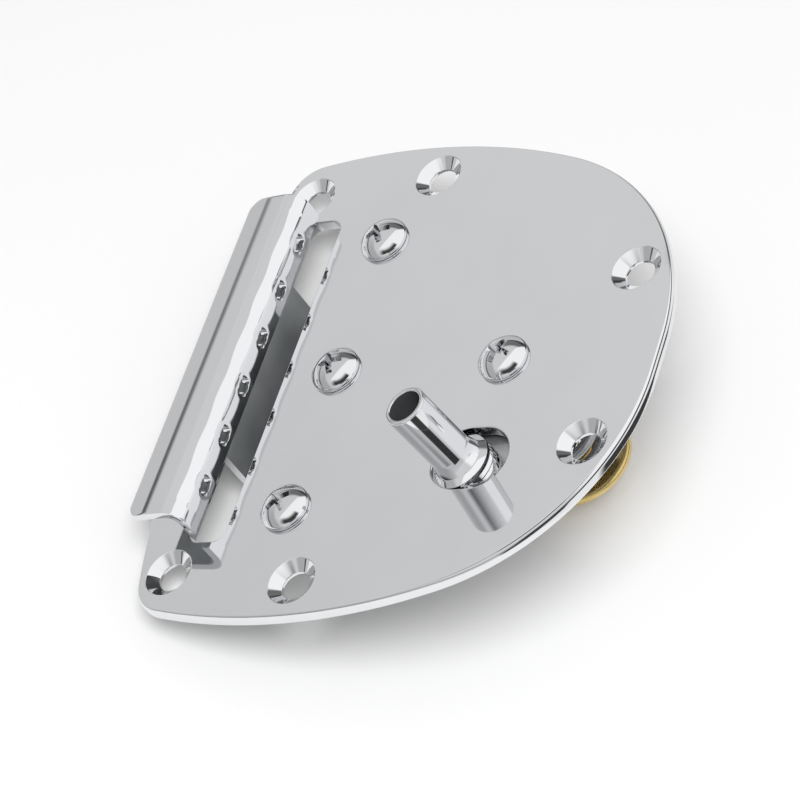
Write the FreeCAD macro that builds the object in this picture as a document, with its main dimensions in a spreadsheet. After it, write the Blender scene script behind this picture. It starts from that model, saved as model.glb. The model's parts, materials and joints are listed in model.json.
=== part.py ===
import FreeCAD, Part
import math
import os
import re

import Sketcher

# Guitar tremolo bridge: a plate screwed to the guitar's top, with a sprung lever that carries the strings.
# The frame has +X towards the neck, +Y towards the bass side and +Z up out of the guitar.
# Its origin lies on the plate's underside, midway between the two widest body screws. Lengths are in mm.

SIZES = {
    # Base plate
    "plate_thickness": 2.3,
    "plate_half_width": 50.0,
    "plate_widest_x": -7.8,
    "plate_front_x": 56.5,
    "plate_rear_x": -37.2,
    "plate_front_radius": 400.0,
    "plate_shoulder_centre": 3.4,
    "plate_side_radius": 108.0,
    "plate_corner_radius": 7.0,
    "plate_rear_radius": 187.0,
    "plate_edge_radius": 0.4,
    # Body screw holes, in pairs, by their distance from the plate's ends and sides
    "rear_screw_inset": 10.8,
    "rear_screw_side_inset": 9.4,
    "middle_screw_side_inset": 7.2,
    "front_screw_inset": 9.0,
    "front_screw_half_spacing": 17.5,
    "body_screw_hole_radius": 2.8,
    "countersink_width": 1.7,
    # Slot that the lever's neck passes through, by its gaps to the string anchor
    "slot_front_gap": 4.0,
    "slot_rear_gap": 2.1,
    "slot_end_gap": 0.1,
    "slot_corner_radius": 2.4,
    # Hole round the arm collet
    "arm_hole_lead": 1.8,
    "arm_hole_offset": 0.2,
    "arm_hole_gap": 1.3,
    "arm_hole_half_shift": 0.9,
    # Screws with domed heads
    "head_radius": 4.8,
    "head_rim_height": 1.1,
    "head_dome_rise": 2.1,
    "recess_width": 1.2,
    "recess_length": 5.4,
    "recess_depth": 1.9,
    "screw_radius": 2.5,
    "screw_hole_gap": 0.4,
    "thread_clearance": 0.05,
    "pivot_screw_x": -6.5,
    "pivot_screw_spacing": 28.5,
    "pivot_screw_setback": 0.1,
    "tension_screw_x": 27.4,
    "tension_screw_tail": 2.2,
    # Fulcrum bar under the plate, with a knife lip in its middle
    "pivot_x": -18.0,
    "bar_rear_setback": 2.0,
    "bar_front_margin": 8.0,
    "bar_end_margin": 5.5,
    "bar_gap": 0.57,
    "knife_top_setback": 1.4,
    "knife_heel_setback": 5.0,
    # String anchor, one bent sheet
    "sheet_thickness": 1.5,
    "anchor_side_inset": 15.6,
    "anchor_wall_setback": 3.6,
    "anchor_wall_lift": 2.4,
    "roof_height": 8.9,
    "roof_depth": 10.8,
    "roof_fall": 0.7,
    "roof_bend_radius": 3.4,
    "neck_side_margin": 0.5,
    "foot_reach": 15.0,
    "foot_bend_radius": 1.0,
    "string_pitch": 10.4,
    "string_hole_height": 4.4,
    "string_hole_radius": 1.4,
    # Lever plate, in its own frame: along it from the knife edge, and up square to it
    "lever_tilt": 6.8,
    "lever_thickness": 2.5,
    "lever_tail": 9.3,
    "lever_tail_gap": 0.4,
    "lever_heel": 2.4,
    "lever_half_width": 18.0,
    "lever_waist_setback": 20.6,
    "lever_arm_setback": 12.6,
    "lever_arm_margin": 8.8,
    "lever_far_side": 12.5,
    "lever_corner_radius": 3.5,
    "lever_screw_gap": 1.7,
    "groove_depth": 0.3,
    "groove_half_width": 1.4,
    "knife_clearance": 0.05,
    # Rivets that join the anchor's foot to the lever
    "rivet_radius": 2.0,
    "rivet_reach": 7.5,
    "rivet_half_spacing": 9.5,
    "rivet_head_radius": 3.6,
    "rivet_head_rise": 1.4,
    "rivet_clearance": 0.05,
    # Arm collet on the lever
    "collet_setback": 1.6,
    "collet_side": 20.2,
    "collet_bore_radius": 2.9,
    "collet_tube_wall": 0.85,
    "collet_tube_height": 13.4,
    "collet_rim_round": 0.3,
    "collet_flare_width": 0.55,
    "collet_flare_height": 1.5,
    "collet_flange_width": 0.8,
    "collet_flange_height": 0.9,
    "collet_shoulder_height": 1.0,
    "collet_ring_height": 3.0,
    "collet_groove_depth": 0.4,
    "collet_groove_width": 0.8,
    "collet_shank_wall": 1.1,
    "collet_shank_drop": 7.2,
    "collet_clearance": 0.1,
    "collet_washer_width": 2.6,
    "collet_washer_thickness": 0.8,
    "collet_nut_wall": 2.0,
    "collet_nut_height": 3.2,
    # Tension spring, its seat on the lever and its nut
    "spring_mean_radius": 6.4,
    "spring_wire": 2.0,
    "spring_end_gap": 0.6,
    "spring_seat_gap": 0.3,
    "seat_thickness": 1.0,
    "seat_rim_height": 1.4,
    "seat_rim_width": 0.9,
    "seat_side_gap": 0.9,
    "nut_top": 25.9,
    "nut_disc_overhang": 2.1,
    "nut_disc_thickness": 1.8,
    "nut_edge_radius": 0.5,
    "nut_hub_gap": 0.8,
    "nut_hub_height": 4.0,
    # How far a cut runs past the faces that it opens
    "overrun": 1.0,
}
STRING_COUNT = 6
SHOULDER_HALVINGS = 60
SPRING_QUARTERS = 22
SPRING_END_QUARTERS = 4

doc = FreeCAD.newDocument("tremolo_bridge")
sheet = doc.addObject("Spreadsheet::Sheet", "sizes")
for row, (alias, size) in enumerate(SIZES.items(), start=1):
    sheet.set(f"A{row}", alias)
    sheet.set(f"B{row}", str(size))
    sheet.setAlias(f"B{row}", alias)
doc.recompute()


def cell(expression):
    """An expression on the sheet's aliases, as the document reads it."""
    def full_name(word):
        return f"sizes.{word[0]}" if word[0] in SIZES else word[0]
    return re.sub(r"[A-Za-z_]\w*", full_name, expression)


def number(expression):
    """The present value of an expression on the sheet's aliases."""
    result = sheet.evalExpression(cell(expression))
    return float(getattr(result, "Value", result))


# Places that follow from the sizes
COS = "cos(lever_tilt * 1 deg)"
SIN = "sin(lever_tilt * 1 deg)"
TAN = "tan(lever_tilt * 1 deg)"
PLATE_TOP = "plate_thickness"
REAR_SCREW_X = "(plate_rear_x + rear_screw_inset)"
REAR_SCREW_Y = "(plate_half_width - rear_screw_side_inset)"
MIDDLE_SCREW_Y = "(plate_half_width - middle_screw_side_inset)"
FRONT_SCREW_X = "(plate_front_x - front_screw_inset)"
ANCHOR_HALF_LENGTH = "(plate_half_width - anchor_side_inset)"
WALL_FRONT = "(pivot_x - anchor_wall_setback)"
WALL_REAR = f"({WALL_FRONT} - sheet_thickness)"
WALL_FOOT = "(plate_thickness + anchor_wall_lift)"
ROOF_TOP = "(plate_thickness + roof_height)"
ROOF_REAR = f"({WALL_FRONT} - roof_depth)"
SLOT_FRONT = f"({WALL_FRONT} + slot_front_gap)"
SLOT_REAR = f"({WALL_REAR} - slot_rear_gap)"
SLOT_HALF_LENGTH = f"({ANCHOR_HALF_LENGTH} + slot_end_gap)"

# Places on the tilted lever plate: heights square to it and reaches along it, from the knife edge
LEVER_TOP = "groove_depth"
LEVER_MIDDLE = "(groove_depth - lever_thickness / 2)"
LEVER_UNDERSIDE = "(groove_depth - lever_thickness)"
FOOT_UNDERSIDE = f"({LEVER_UNDERSIDE} - sheet_thickness)"
SCREW_REACH = f"((tension_screw_x - pivot_x + {LEVER_MIDDLE} * {SIN}) / {COS})"
LEVER_REACH = f"({SCREW_REACH} + lever_tail)"
LEVER_WAIST = f"({SCREW_REACH} - lever_waist_setback)"
LEVER_ARM = f"({SCREW_REACH} - lever_arm_setback)"
LEVER_ARM_SIDE = "(collet_side + lever_arm_margin)"
LEVER_SCREW_HOLE = "(screw_radius + lever_screw_gap)"
COLLET_REACH = f"({SCREW_REACH} - collet_setback)"
COLLET_AT = (COLLET_REACH, "-collet_side")

# The knife edge lies deep enough to keep the lever's tail clear of the plate
PIVOT_DEPTH = f"({LEVER_REACH} * {SIN} + {LEVER_TOP} * {COS} + lever_tail_gap)"
BAR_FRONT = "(pivot_screw_x + bar_front_margin)"
BAR_REAR = "(pivot_x + bar_rear_setback)"
BAR_THICKNESS = f"({PIVOT_DEPTH} - ({BAR_FRONT} - pivot_x) * {TAN} - {LEVER_TOP} / {COS} - bar_gap)"
KNIFE_HEEL = "(pivot_x + knife_heel_setback)"
KNIFE_TOP = "(pivot_x + knife_top_setback)"

# Collet radii and heights, and where its axis crosses the plate's top
COLLET_TUBE = "(collet_bore_radius + collet_tube_wall)"
COLLET_FLARE = f"({COLLET_TUBE} + collet_flare_width)"
COLLET_FLANGE = f"({COLLET_FLARE} + collet_flange_width)"
COLLET_SHANK = "(collet_bore_radius + collet_shank_wall)"
COLLET_HOLE = f"({COLLET_SHANK} + collet_clearance)"
FLANGE_FOOT = f"({LEVER_TOP} + collet_ring_height)"
FLANGE_SHOULDER = f"({FLANGE_FOOT} + collet_flange_height)"
FLARE_FOOT = f"({FLANGE_SHOULDER} + collet_shoulder_height)"
FLARE_TOP = f"({FLARE_FOOT} + collet_flare_height)"
COLLET_TOP = f"({FLARE_TOP} + collet_tube_height)"
COLLET_FOOT = f"({LEVER_UNDERSIDE} - collet_shank_drop)"
CROSSING_RISE = f"({PLATE_TOP} + {PIVOT_DEPTH} - {COLLET_REACH} * {SIN})"
ARM_HOLE_X = f"(pivot_x + {COLLET_REACH} * {COS} - {CROSSING_RISE} * {TAN} + arm_hole_lead)"
ARM_HOLE_Y = "(arm_hole_offset - collet_side)"
ARM_HOLE_RADIUS = f"({COLLET_FLANGE} + arm_hole_gap)"

# Spring, seat and nut
SPRING_OUTSIDE = "(spring_mean_radius + spring_wire / 2)"
SEAT_RADIUS = f"({SPRING_OUTSIDE} + seat_side_gap + seat_rim_width)"
SEAT_FACE = f"({LEVER_UNDERSIDE} - seat_thickness)"
NUT_RADIUS = f"({SPRING_OUTSIDE} + nut_disc_overhang)"
NUT_HUB = "(spring_mean_radius - spring_wire / 2 - nut_hub_gap)"
NUT_FOOT = "(-nut_top - nut_disc_thickness)"
TAPPED_RADIUS = "(screw_radius + thread_clearance)"
TENSION_SCREW_DEPTH = "(nut_top + nut_disc_thickness + tension_screw_tail)"


# Sketches and solids bound to the sheet

def new_body(label):
    body = doc.addObject("PartDesign::Body", label)
    body.Label = label
    return body


def sketch_on(body, name, role, lift=None):
    sketch = body.newObject("Sketcher::SketchObject", name)
    plane = next(item for item in body.Origin.OriginFeatures if item.Role == role)
    sketch.AttachmentSupport = [(plane, "")]
    sketch.MapMode = "FlatFace"
    if lift:
        sketch.setExpression("AttachmentOffset.Base.z", cell(lift))
    return sketch


def tie(sketch, kind, geometry, point, expression):
    """Holds one coordinate of a point, or a radius, to an expression."""
    place = (geometry,) if point is None else (geometry, point)
    if kind in ("DistanceX", "DistanceY") and number(expression) == 0:
        axis = -2 if kind == "DistanceX" else -1
        sketch.addConstraint(Sketcher.Constraint("PointOnObject", geometry, point, axis))
        return
    index = sketch.addConstraint(Sketcher.Constraint(kind, *place, number(expression)))
    sketch.setExpression(f"Constraints[{index}]", cell(expression))


def add_circle(sketch, x, y, radius):
    centre = FreeCAD.Vector(number(x), number(y), 0)
    index = sketch.addGeometry(Part.Circle(centre, FreeCAD.Vector(0, 0, 1), number(radius)), False)
    tie(sketch, "DistanceX", index, 3, x)
    tie(sketch, "DistanceY", index, 3, y)
    tie(sketch, "Radius", index, None, radius)


def add_obround(sketch, x, y, half_shift, radius):
    """A hole with round ends, drawn out along X to both sides of its middle."""
    reach = number(radius)
    ends = []
    for sign, start in (("+", -math.pi / 2), ("-", math.pi / 2)):
        centre = FreeCAD.Vector(number(f"{x} {sign} {half_shift}"), number(y), 0)
        circle = Part.Circle(centre, FreeCAD.Vector(0, 0, 1), reach)
        ends.append(sketch.addGeometry(Part.ArcOfCircle(circle, start, start + math.pi), False))
    rise = FreeCAD.Vector(0, reach, 0)
    front, rear = (sketch.Geometry[end].Center for end in ends)
    far = sketch.addGeometry(Part.LineSegment(front + rise, rear + rise), False)
    near = sketch.addGeometry(Part.LineSegment(rear - rise, front - rise), False)
    for first, second in ((ends[0], far), (far, ends[1]), (ends[1], near), (near, ends[0])):
        sketch.addConstraint(Sketcher.Constraint("Tangent", first, 2, second, 1))
    for end, sign in zip(ends, "+-"):
        tie(sketch, "DistanceX", end, 3, f"{x} {sign} {half_shift}")
    tie(sketch, "DistanceY", ends[0], 3, y)
    tie(sketch, "Radius", ends[0], None, radius)
    sketch.addConstraint(Sketcher.Constraint("Horizontal", far))


def add_polygon(sketch, points):
    corners = [FreeCAD.Vector(number(x), number(y), 0) for x, y in points]
    first = sketch.GeometryCount
    count = len(corners)
    for place in range(count):
        sketch.addGeometry(Part.LineSegment(corners[place], corners[(place + 1) % count]), False)
    for place in range(count):
        sketch.addConstraint(
            Sketcher.Constraint("Coincident", first + place, 2, first + (place + 1) % count, 1))
    for place, (x, y) in enumerate(points):
        tie(sketch, "DistanceX", first + place, 1, x)
        tie(sketch, "DistanceY", first + place, 1, y)


def pad(body, sketch, name, length, symmetric=False, reverse=False):
    feature = body.newObject("PartDesign::Pad", name)
    feature.Profile = sketch
    feature.setExpression("Length", cell(length))
    feature.SideType = "Symmetric" if symmetric else "One side"
    feature.Reversed = reverse
    doc.recompute()
    return feature


def pocket(body, sketch, name, symmetric=False, reverse=False):
    before = body.Shape.Volume
    feature = body.newObject("PartDesign::Pocket", name)
    feature.Profile = sketch
    feature.Type = "ThroughAll"
    feature.SideType = "Symmetric" if symmetric else "One side"
    feature.Reversed = reverse
    doc.recompute()
    if body.Shape.Volume >= before:
        raise RuntimeError(f"{name} removed nothing from {body.Label}")
    return feature


def dress(body, kind, name, size_name, size, wanted):
    """A fillet or chamfer on the edges of the body's tip that wanted() picks."""
    base = body.Tip
    edges = [f"Edge{n}" for n, edge in enumerate(base.Shape.Edges, start=1) if wanted(edge)]
    feature = body.newObject(f"PartDesign::{kind}", name)
    feature.Base = (base, edges)
    feature.setExpression(size_name, cell(size))
    doc.recompute()
    return feature


def edge_runs_along_y(x, z):
    """Picks the straight edge that runs along Y through a place in the XZ plane."""
    place = (number(x), number(z))

    def wanted(edge):
        ends = [vertex.Point for vertex in edge.Vertexes]
        return len(ends) == 2 and all(math.hypot(p.x - place[0], p.z - place[1]) < 1e-6 for p in ends)
    return wanted


def cylinder(name, radius, height, x="0", y="0", z="0"):
    item = doc.addObject("Part::Cylinder", name)
    item.setExpression("Radius", cell(radius))
    item.setExpression("Height", cell(height))
    move(item, x, y, z)
    return item


def cone(name, foot_radius, top_radius, height, x, y, z):
    item = doc.addObject("Part::Cone", name)
    item.setExpression("Radius1", cell(foot_radius))
    item.setExpression("Radius2", cell(top_radius))
    item.setExpression("Height", cell(height))
    move(item, x, y, z)
    return item


def move(item, x, y, z):
    for axis, expression in zip("xyz", (x, y, z)):
        item.setExpression(f"Placement.Base.{axis}", cell(expression))


def fuse(name, items):
    item = doc.addObject("Part::MultiFuse", name)
    item.Shapes = items
    item.Refine = True
    return item


def cut(name, base, tool):
    item = doc.addObject("Part::Cut", name)
    item.Base = base
    item.Tool = tool
    return item


def common(name, items):
    item = doc.addObject("Part::MultiCommon", name)
    item.Shapes = items
    return item


def set_on_lever(item):
    """Puts a piece drawn in the lever's frame at the knife edge, with the lever's tilt."""
    item.Placement = FreeCAD.Placement(FreeCAD.Vector(), FreeCAD.Rotation(FreeCAD.Vector(0, 1, 0), -1))
    item.setExpression("Placement.Rotation.Angle", cell("-lever_tilt"))
    item.setExpression("Placement.Base.x", cell("pivot_x"))
    item.setExpression("Placement.Base.z", cell(f"-{PIVOT_DEPTH}"))


# Base plate

def meeting_point(first, first_distance, second, second_distance, outward):
    """The point at two given distances from two centres, on the outward side."""
    step = second - first
    gap = step.Length
    along = (first_distance ** 2 - second_distance ** 2 + gap ** 2) / (2 * gap)
    aside = math.sqrt(first_distance ** 2 - along ** 2)
    foot = first + step * (along / gap)
    square = FreeCAD.Vector(-step.y, step.x, 0) * (aside / gap)
    return max(foot + square, foot - square, key=lambda point: point.dot(outward))


def bearing(centre, point):
    return math.atan2(point.y - centre.y, point.x - centre.x)


def shoulder_arc(front, front_radius, side, side_radius):
    """The centre and radius of the arc between front and side that has its centre at a set distance aside."""
    aside = number("plate_shoulder_centre")
    outward = FreeCAD.Vector(1, 1, 0)
    gap = (side - front).Length
    small = 0
    large = (front_radius + side_radius - gap) / 2
    for _ in range(SHOULDER_HALVINGS):
        radius = (small + large) / 2
        centre = meeting_point(front, front_radius - radius, side, side_radius - radius, outward)
        if centre.y > aside:
            small = radius
        else:
            large = radius
    return centre, radius


def add_plate_outline(sketch):
    """Eight tangent arcs: front, shoulders, sides, rear corners and rear edge."""
    front_radius = number("plate_front_radius")
    side_radius = number("plate_side_radius")
    corner_radius = number("plate_corner_radius")
    rear_radius = number("plate_rear_radius")
    front = FreeCAD.Vector(number("plate_front_x - plate_front_radius"), 0, 0)
    rear = FreeCAD.Vector(number("plate_rear_x + plate_rear_radius"), 0, 0)
    side = FreeCAD.Vector(number("plate_widest_x"), number("plate_half_width - plate_side_radius"), 0)
    shoulder, shoulder_radius = shoulder_arc(front, front_radius, side, side_radius)
    corner = meeting_point(rear, rear_radius - corner_radius, side, side_radius - corner_radius,
                           FreeCAD.Vector(-1, 1, 0))
    turns = [bearing(front, shoulder), bearing(side, shoulder), bearing(side, corner), bearing(rear, corner)]
    radii = [front_radius, shoulder_radius, side_radius, corner_radius, rear_radius]
    names = ["plate_front_radius", None, "plate_side_radius", "plate_corner_radius", "plate_rear_radius"]
    centres = [front, shoulder, side, corner, rear]
    starts = [-turns[0], *turns]
    ends = [*turns, 2 * math.pi - turns[3]]
    arcs = list(zip(centres, radii, starts, ends))
    for centre, radius, start, end in reversed(arcs[1:4]):
        mirrored = FreeCAD.Vector(centre.x, -centre.y, 0)
        arcs.append((mirrored, radius, -end, -start))
    for centre, radius, start, end in arcs:
        circle = Part.Circle(centre, FreeCAD.Vector(0, 0, 1), radius)
        sketch.addGeometry(Part.ArcOfCircle(circle, start, end), False)
    count = len(arcs)
    for place in range(count):
        sketch.addConstraint(Sketcher.Constraint("Tangent", place, 2, (place + 1) % count, 1))
    for place, name in enumerate(names + names[3:0:-1]):
        if name:
            tie(sketch, "Radius", place, None, name)
    tie(sketch, "DistanceX", 0, 3, "plate_front_x - plate_front_radius")
    tie(sketch, "DistanceY", 0, 3, "0")
    tie(sketch, "DistanceX", 4, 3, "plate_rear_x + plate_rear_radius")
    tie(sketch, "DistanceY", 4, 3, "0")
    for place, sign in ((1, ""), (7, "-")):
        tie(sketch, "DistanceY", place, 3, f"{sign}plate_shoulder_centre")
    for place, sign in ((2, ""), (6, "-")):
        tie(sketch, "DistanceX", place, 3, "plate_widest_x")
        tie(sketch, "DistanceY", place, 3, f"{sign}(plate_half_width - plate_side_radius)")


BODY_SCREWS = [
    (REAR_SCREW_X, REAR_SCREW_Y),
    ("0", MIDDLE_SCREW_Y),
    (FRONT_SCREW_X, "front_screw_half_spacing"),
]


def make_base_plate():
    body = new_body("base_plate")
    outline = sketch_on(body, "plate_outline", "XY_Plane")
    add_plate_outline(outline)
    pad(body, outline, "plate_pad", "plate_thickness")
    top = number(PLATE_TOP)
    dress(body, "Fillet", "plate_edge", "Radius", "plate_edge_radius",
          lambda edge: all(abs(vertex.Z - top) < 1e-6 for vertex in edge.Vertexes))
    slot = sketch_on(body, "slot_outline", "XY_Plane")
    add_polygon(slot, [(SLOT_REAR, f"-{SLOT_HALF_LENGTH}"), (SLOT_FRONT, f"-{SLOT_HALF_LENGTH}"),
                       (SLOT_FRONT, SLOT_HALF_LENGTH), (SLOT_REAR, SLOT_HALF_LENGTH)])
    pocket(body, slot, "slot_cut", reverse=True)
    corners = {(number(x), number(f"{sign}{SLOT_HALF_LENGTH}"))
               for x in (SLOT_REAR, SLOT_FRONT) for sign in ("", "-")}
    dress(body, "Fillet", "slot_corners", "Radius", "slot_corner_radius",
          lambda edge: edge.Length < top + 1e-6 and all(
              min(math.hypot(v.X - x, v.Y - y) for x, y in corners) < 1e-6 for v in edge.Vertexes))
    holes = sketch_on(body, "hole_outlines", "XY_Plane")
    for x, half_spacing in BODY_SCREWS:
        for sign in ("", "-"):
            add_circle(holes, x, f"{sign}{half_spacing}", "body_screw_hole_radius")
    for place in (-1, 0, 1):
        add_circle(holes, "pivot_screw_x", f"{place} * pivot_screw_spacing", "screw_radius + screw_hole_gap")
    add_circle(holes, "tension_screw_x", "0", "screw_radius + screw_hole_gap")
    pocket(body, holes, "hole_cuts", reverse=True)
    arm_hole = sketch_on(body, "arm_hole_outline", "XY_Plane")
    add_obround(arm_hole, ARM_HOLE_X, ARM_HOLE_Y, "arm_hole_half_shift", ARM_HOLE_RADIUS)
    pocket(body, arm_hole, "arm_hole_cut", reverse=True)
    hole_radius = number("body_screw_hole_radius")

    def is_screw_hole_rim(edge):
        curve = edge.Curve
        return (isinstance(curve, Part.Circle) and abs(curve.Radius - hole_radius) < 1e-6
                and abs(curve.Center.z - top) < 1e-6)
    dress(body, "Chamfer", "countersinks", "Size", "countersink_width", is_screw_hole_rim)
    return body


# Fulcrum bar and screws

def make_fulcrum_bar():
    body = new_body("fulcrum_bar")
    flat = sketch_on(body, "bar_section", "XZ_Plane")
    add_polygon(flat, [(BAR_REAR, f"-{BAR_THICKNESS}"), (BAR_FRONT, f"-{BAR_THICKNESS}"),
                       (BAR_FRONT, "0"), (BAR_REAR, "0")])
    pad(body, flat, "bar_pad", "2 * (pivot_screw_spacing + bar_end_margin)", symmetric=True)
    knife = sketch_on(body, "knife_section", "XZ_Plane")
    add_polygon(knife, [("pivot_x", f"-{PIVOT_DEPTH}"), (KNIFE_HEEL, f"-{BAR_THICKNESS}"),
                        (KNIFE_HEEL, "0"), (KNIFE_TOP, "0")])
    pad(body, knife, "knife_pad", "2 * lever_half_width", symmetric=True)
    taps = sketch_on(body, "bar_taps", "XY_Plane")
    for place in (-1, 0, 1):
        add_circle(taps, "pivot_screw_x", f"{place} * pivot_screw_spacing", TAPPED_RADIUS)
    pocket(body, taps, "bar_tap_cuts", symmetric=True)
    return body


def make_screw(label, x, y, reach):
    """A domed screw, its head on the plate's top and its shank down to a depth under the plate."""
    shank = cylinder(f"{label}_shank", "screw_radius", f"{reach} + {PLATE_TOP} + overrun",
                     x, y, f"-({reach})")
    blank = cylinder(f"{label}_blank", "head_radius", "head_rim_height + head_dome_rise", x, y, PLATE_TOP)
    ball_radius = "((head_radius^2 + head_dome_rise^2) / (2 * head_dome_rise))"
    ball = doc.addObject("Part::Sphere", f"{label}_ball")
    ball.setExpression("Radius", cell(ball_radius))
    move(ball, x, y, f"{PLATE_TOP} + head_rim_height + head_dome_rise - {ball_radius}")
    head = common(f"{label}_head", [blank, ball])
    arms = []
    for name, in_x, in_y in (("x", "recess_length", "recess_width"), ("y", "recess_width", "recess_length")):
        arm = doc.addObject("Part::Box", f"{label}_recess_{name}")
        arm.setExpression("Length", cell(in_x))
        arm.setExpression("Width", cell(in_y))
        arm.setExpression("Height", cell("recess_depth + overrun"))
        move(arm, f"{x} - {in_x} / 2", f"{y} - {in_y} / 2",
             f"{PLATE_TOP} + head_rim_height + head_dome_rise - recess_depth")
        arms.append(arm)
    blank_screw = fuse(f"{label}_turned", [shank, head])
    screw = cut(label, blank_screw, fuse(f"{label}_recess", arms))
    screw.Label = label
    return screw


# String anchor

def make_string_anchor():
    body = new_body("string_anchor")
    roof = sketch_on(body, "roof_section", "XZ_Plane")
    add_polygon(roof, [
        (WALL_FRONT, WALL_FOOT),
        (WALL_FRONT, ROOF_TOP),
        (ROOF_REAR, f"{ROOF_TOP} - roof_fall"),
        (ROOF_REAR, f"{ROOF_TOP} - roof_fall - sheet_thickness"),
        (WALL_REAR, f"{ROOF_TOP} - sheet_thickness"),
        (WALL_REAR, WALL_FOOT),
    ])
    pad(body, roof, "roof_pad", f"2 * {ANCHOR_HALF_LENGTH}", symmetric=True)
    dress(body, "Fillet", "roof_bend_outside", "Radius", "roof_bend_radius",
          edge_runs_along_y(WALL_FRONT, ROOF_TOP))
    dress(body, "Fillet", "roof_bend_inside", "Radius", "roof_bend_radius - sheet_thickness",
          edge_runs_along_y(WALL_REAR, f"{ROOF_TOP} - sheet_thickness"))
    bend_front = f"(({WALL_FRONT} - pivot_x) * {TAN} + {LEVER_UNDERSIDE} / {COS} - {PIVOT_DEPTH})"
    bend_rear = f"(({WALL_REAR} - pivot_x) * {TAN} + {FOOT_UNDERSIDE} / {COS} - {PIVOT_DEPTH})"
    neck = sketch_on(body, "neck_section", "XZ_Plane")
    add_polygon(neck, [
        (WALL_FRONT, f"{WALL_FOOT} + sheet_thickness"),
        (WALL_FRONT, bend_front),
        (f"pivot_x + foot_reach * {COS} - {LEVER_UNDERSIDE} * {SIN}",
         f"foot_reach * {SIN} + {LEVER_UNDERSIDE} * {COS} - {PIVOT_DEPTH}"),
        (f"pivot_x + foot_reach * {COS} - {FOOT_UNDERSIDE} * {SIN}",
         f"foot_reach * {SIN} + {FOOT_UNDERSIDE} * {COS} - {PIVOT_DEPTH}"),
        (WALL_REAR, bend_rear),
        (WALL_REAR, f"{WALL_FOOT} + sheet_thickness"),
    ])
    pad(body, neck, "neck_pad", "2 * (lever_half_width + neck_side_margin)", symmetric=True)
    dress(body, "Fillet", "foot_bend_inside", "Radius", "foot_bend_radius",
          edge_runs_along_y(WALL_FRONT, bend_front))
    dress(body, "Fillet", "foot_bend_outside", "Radius", "foot_bend_radius + sheet_thickness",
          edge_runs_along_y(WALL_REAR, bend_rear))
    strings = sketch_on(body, "string_holes", "YZ_Plane")
    for place in range(STRING_COUNT):
        add_circle(strings, f"({place} - {STRING_COUNT - 1} / 2) * string_pitch",
                   "plate_thickness + string_hole_height", "string_hole_radius")
    pocket(body, strings, "string_hole_cuts")
    rivets = sketch_on(body, "foot_rivet_holes", "XY_Plane", lift=f"-{PIVOT_DEPTH}")
    for sign in ("", "-"):
        add_circle(rivets, "rivet_reach", f"{sign}rivet_half_spacing", "rivet_radius + rivet_clearance")
    tilt_sketch(rivets)
    pocket(body, rivets, "foot_rivet_cuts", symmetric=True)
    return body


def tilt_sketch(sketch):
    """Turns a sketch in the plate's plane about the knife edge, into the lever's plane."""
    sketch.AttachmentOffset = FreeCAD.Placement(
        sketch.AttachmentOffset.Base, FreeCAD.Rotation(FreeCAD.Vector(0, 1, 0), -1))
    sketch.setExpression("AttachmentOffset.Rotation.Angle", cell("-lever_tilt"))
    sketch.setExpression("AttachmentOffset.Base.x", cell("pivot_x"))


# Lever plate and its rivets

def make_lever_plate():
    body = new_body("lever_plate")
    outline = sketch_on(body, "lever_outline", "XY_Plane", lift=LEVER_TOP)
    corners = [
        ("-lever_heel", "-lever_half_width"),
        (LEVER_WAIST, "-lever_half_width"),
        (LEVER_ARM, f"-{LEVER_ARM_SIDE}"),
        (LEVER_REACH, f"-{LEVER_ARM_SIDE}"),
        (LEVER_REACH, "lever_far_side"),
        (LEVER_ARM, "lever_far_side"),
        (LEVER_WAIST, "lever_half_width"),
        ("-lever_heel", "lever_half_width"),
    ]
    add_polygon(outline, corners)
    pad(body, outline, "lever_pad", "lever_thickness", reverse=True)
    rounded = {(round(number(x), 6), round(number(y), 6)) for x, y in corners[1:-1]}
    dress(body, "Fillet", "lever_corners", "Radius", "lever_corner_radius",
          lambda edge: {(round(v.X, 6), round(v.Y, 6)) for v in edge.Vertexes} <= rounded
          and abs(edge.Vertexes[0].Z - edge.Vertexes[-1].Z) > 1e-6)
    groove = sketch_on(body, "groove_section", "XZ_Plane")
    add_polygon(groove, [
        ("0", "-knife_clearance"),
        ("groove_half_width", "groove_depth"),
        ("groove_half_width", "groove_depth + overrun"),
        ("-groove_half_width", "groove_depth + overrun"),
        ("-groove_half_width", "groove_depth"),
    ])
    pocket(body, groove, "knife_groove", symmetric=True)
    holes = sketch_on(body, "lever_holes", "XY_Plane")
    add_circle(holes, SCREW_REACH, "0", LEVER_SCREW_HOLE)
    add_circle(holes, *COLLET_AT, COLLET_HOLE)
    for sign in ("", "-"):
        add_circle(holes, "rivet_reach", f"{sign}rivet_half_spacing", "rivet_radius + rivet_clearance")
    pocket(body, holes, "lever_hole_cuts", symmetric=True)
    set_on_lever(body)
    return body


def make_rivet(label, side):
    """A rivet, flush on the lever's top and domed under the anchor's foot."""
    y = f"{side}rivet_half_spacing"
    shank = cylinder(f"{label}_shank", "rivet_radius", f"{LEVER_TOP} - {FOOT_UNDERSIDE}",
                     "rivet_reach", y, FOOT_UNDERSIDE)
    blank = cylinder(f"{label}_blank", "rivet_head_radius", "rivet_head_rise",
                     "rivet_reach", y, f"{FOOT_UNDERSIDE} - rivet_head_rise")
    ball_radius = "((rivet_head_radius^2 + rivet_head_rise^2) / (2 * rivet_head_rise))"
    ball = doc.addObject("Part::Sphere", f"{label}_ball")
    ball.setExpression("Radius", cell(ball_radius))
    move(ball, "rivet_reach", y, f"{FOOT_UNDERSIDE} - rivet_head_rise + {ball_radius}")
    rivet = fuse(label, [shank, common(f"{label}_head", [blank, ball])])
    rivet.Label = label
    set_on_lever(rivet)
    return rivet


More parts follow.
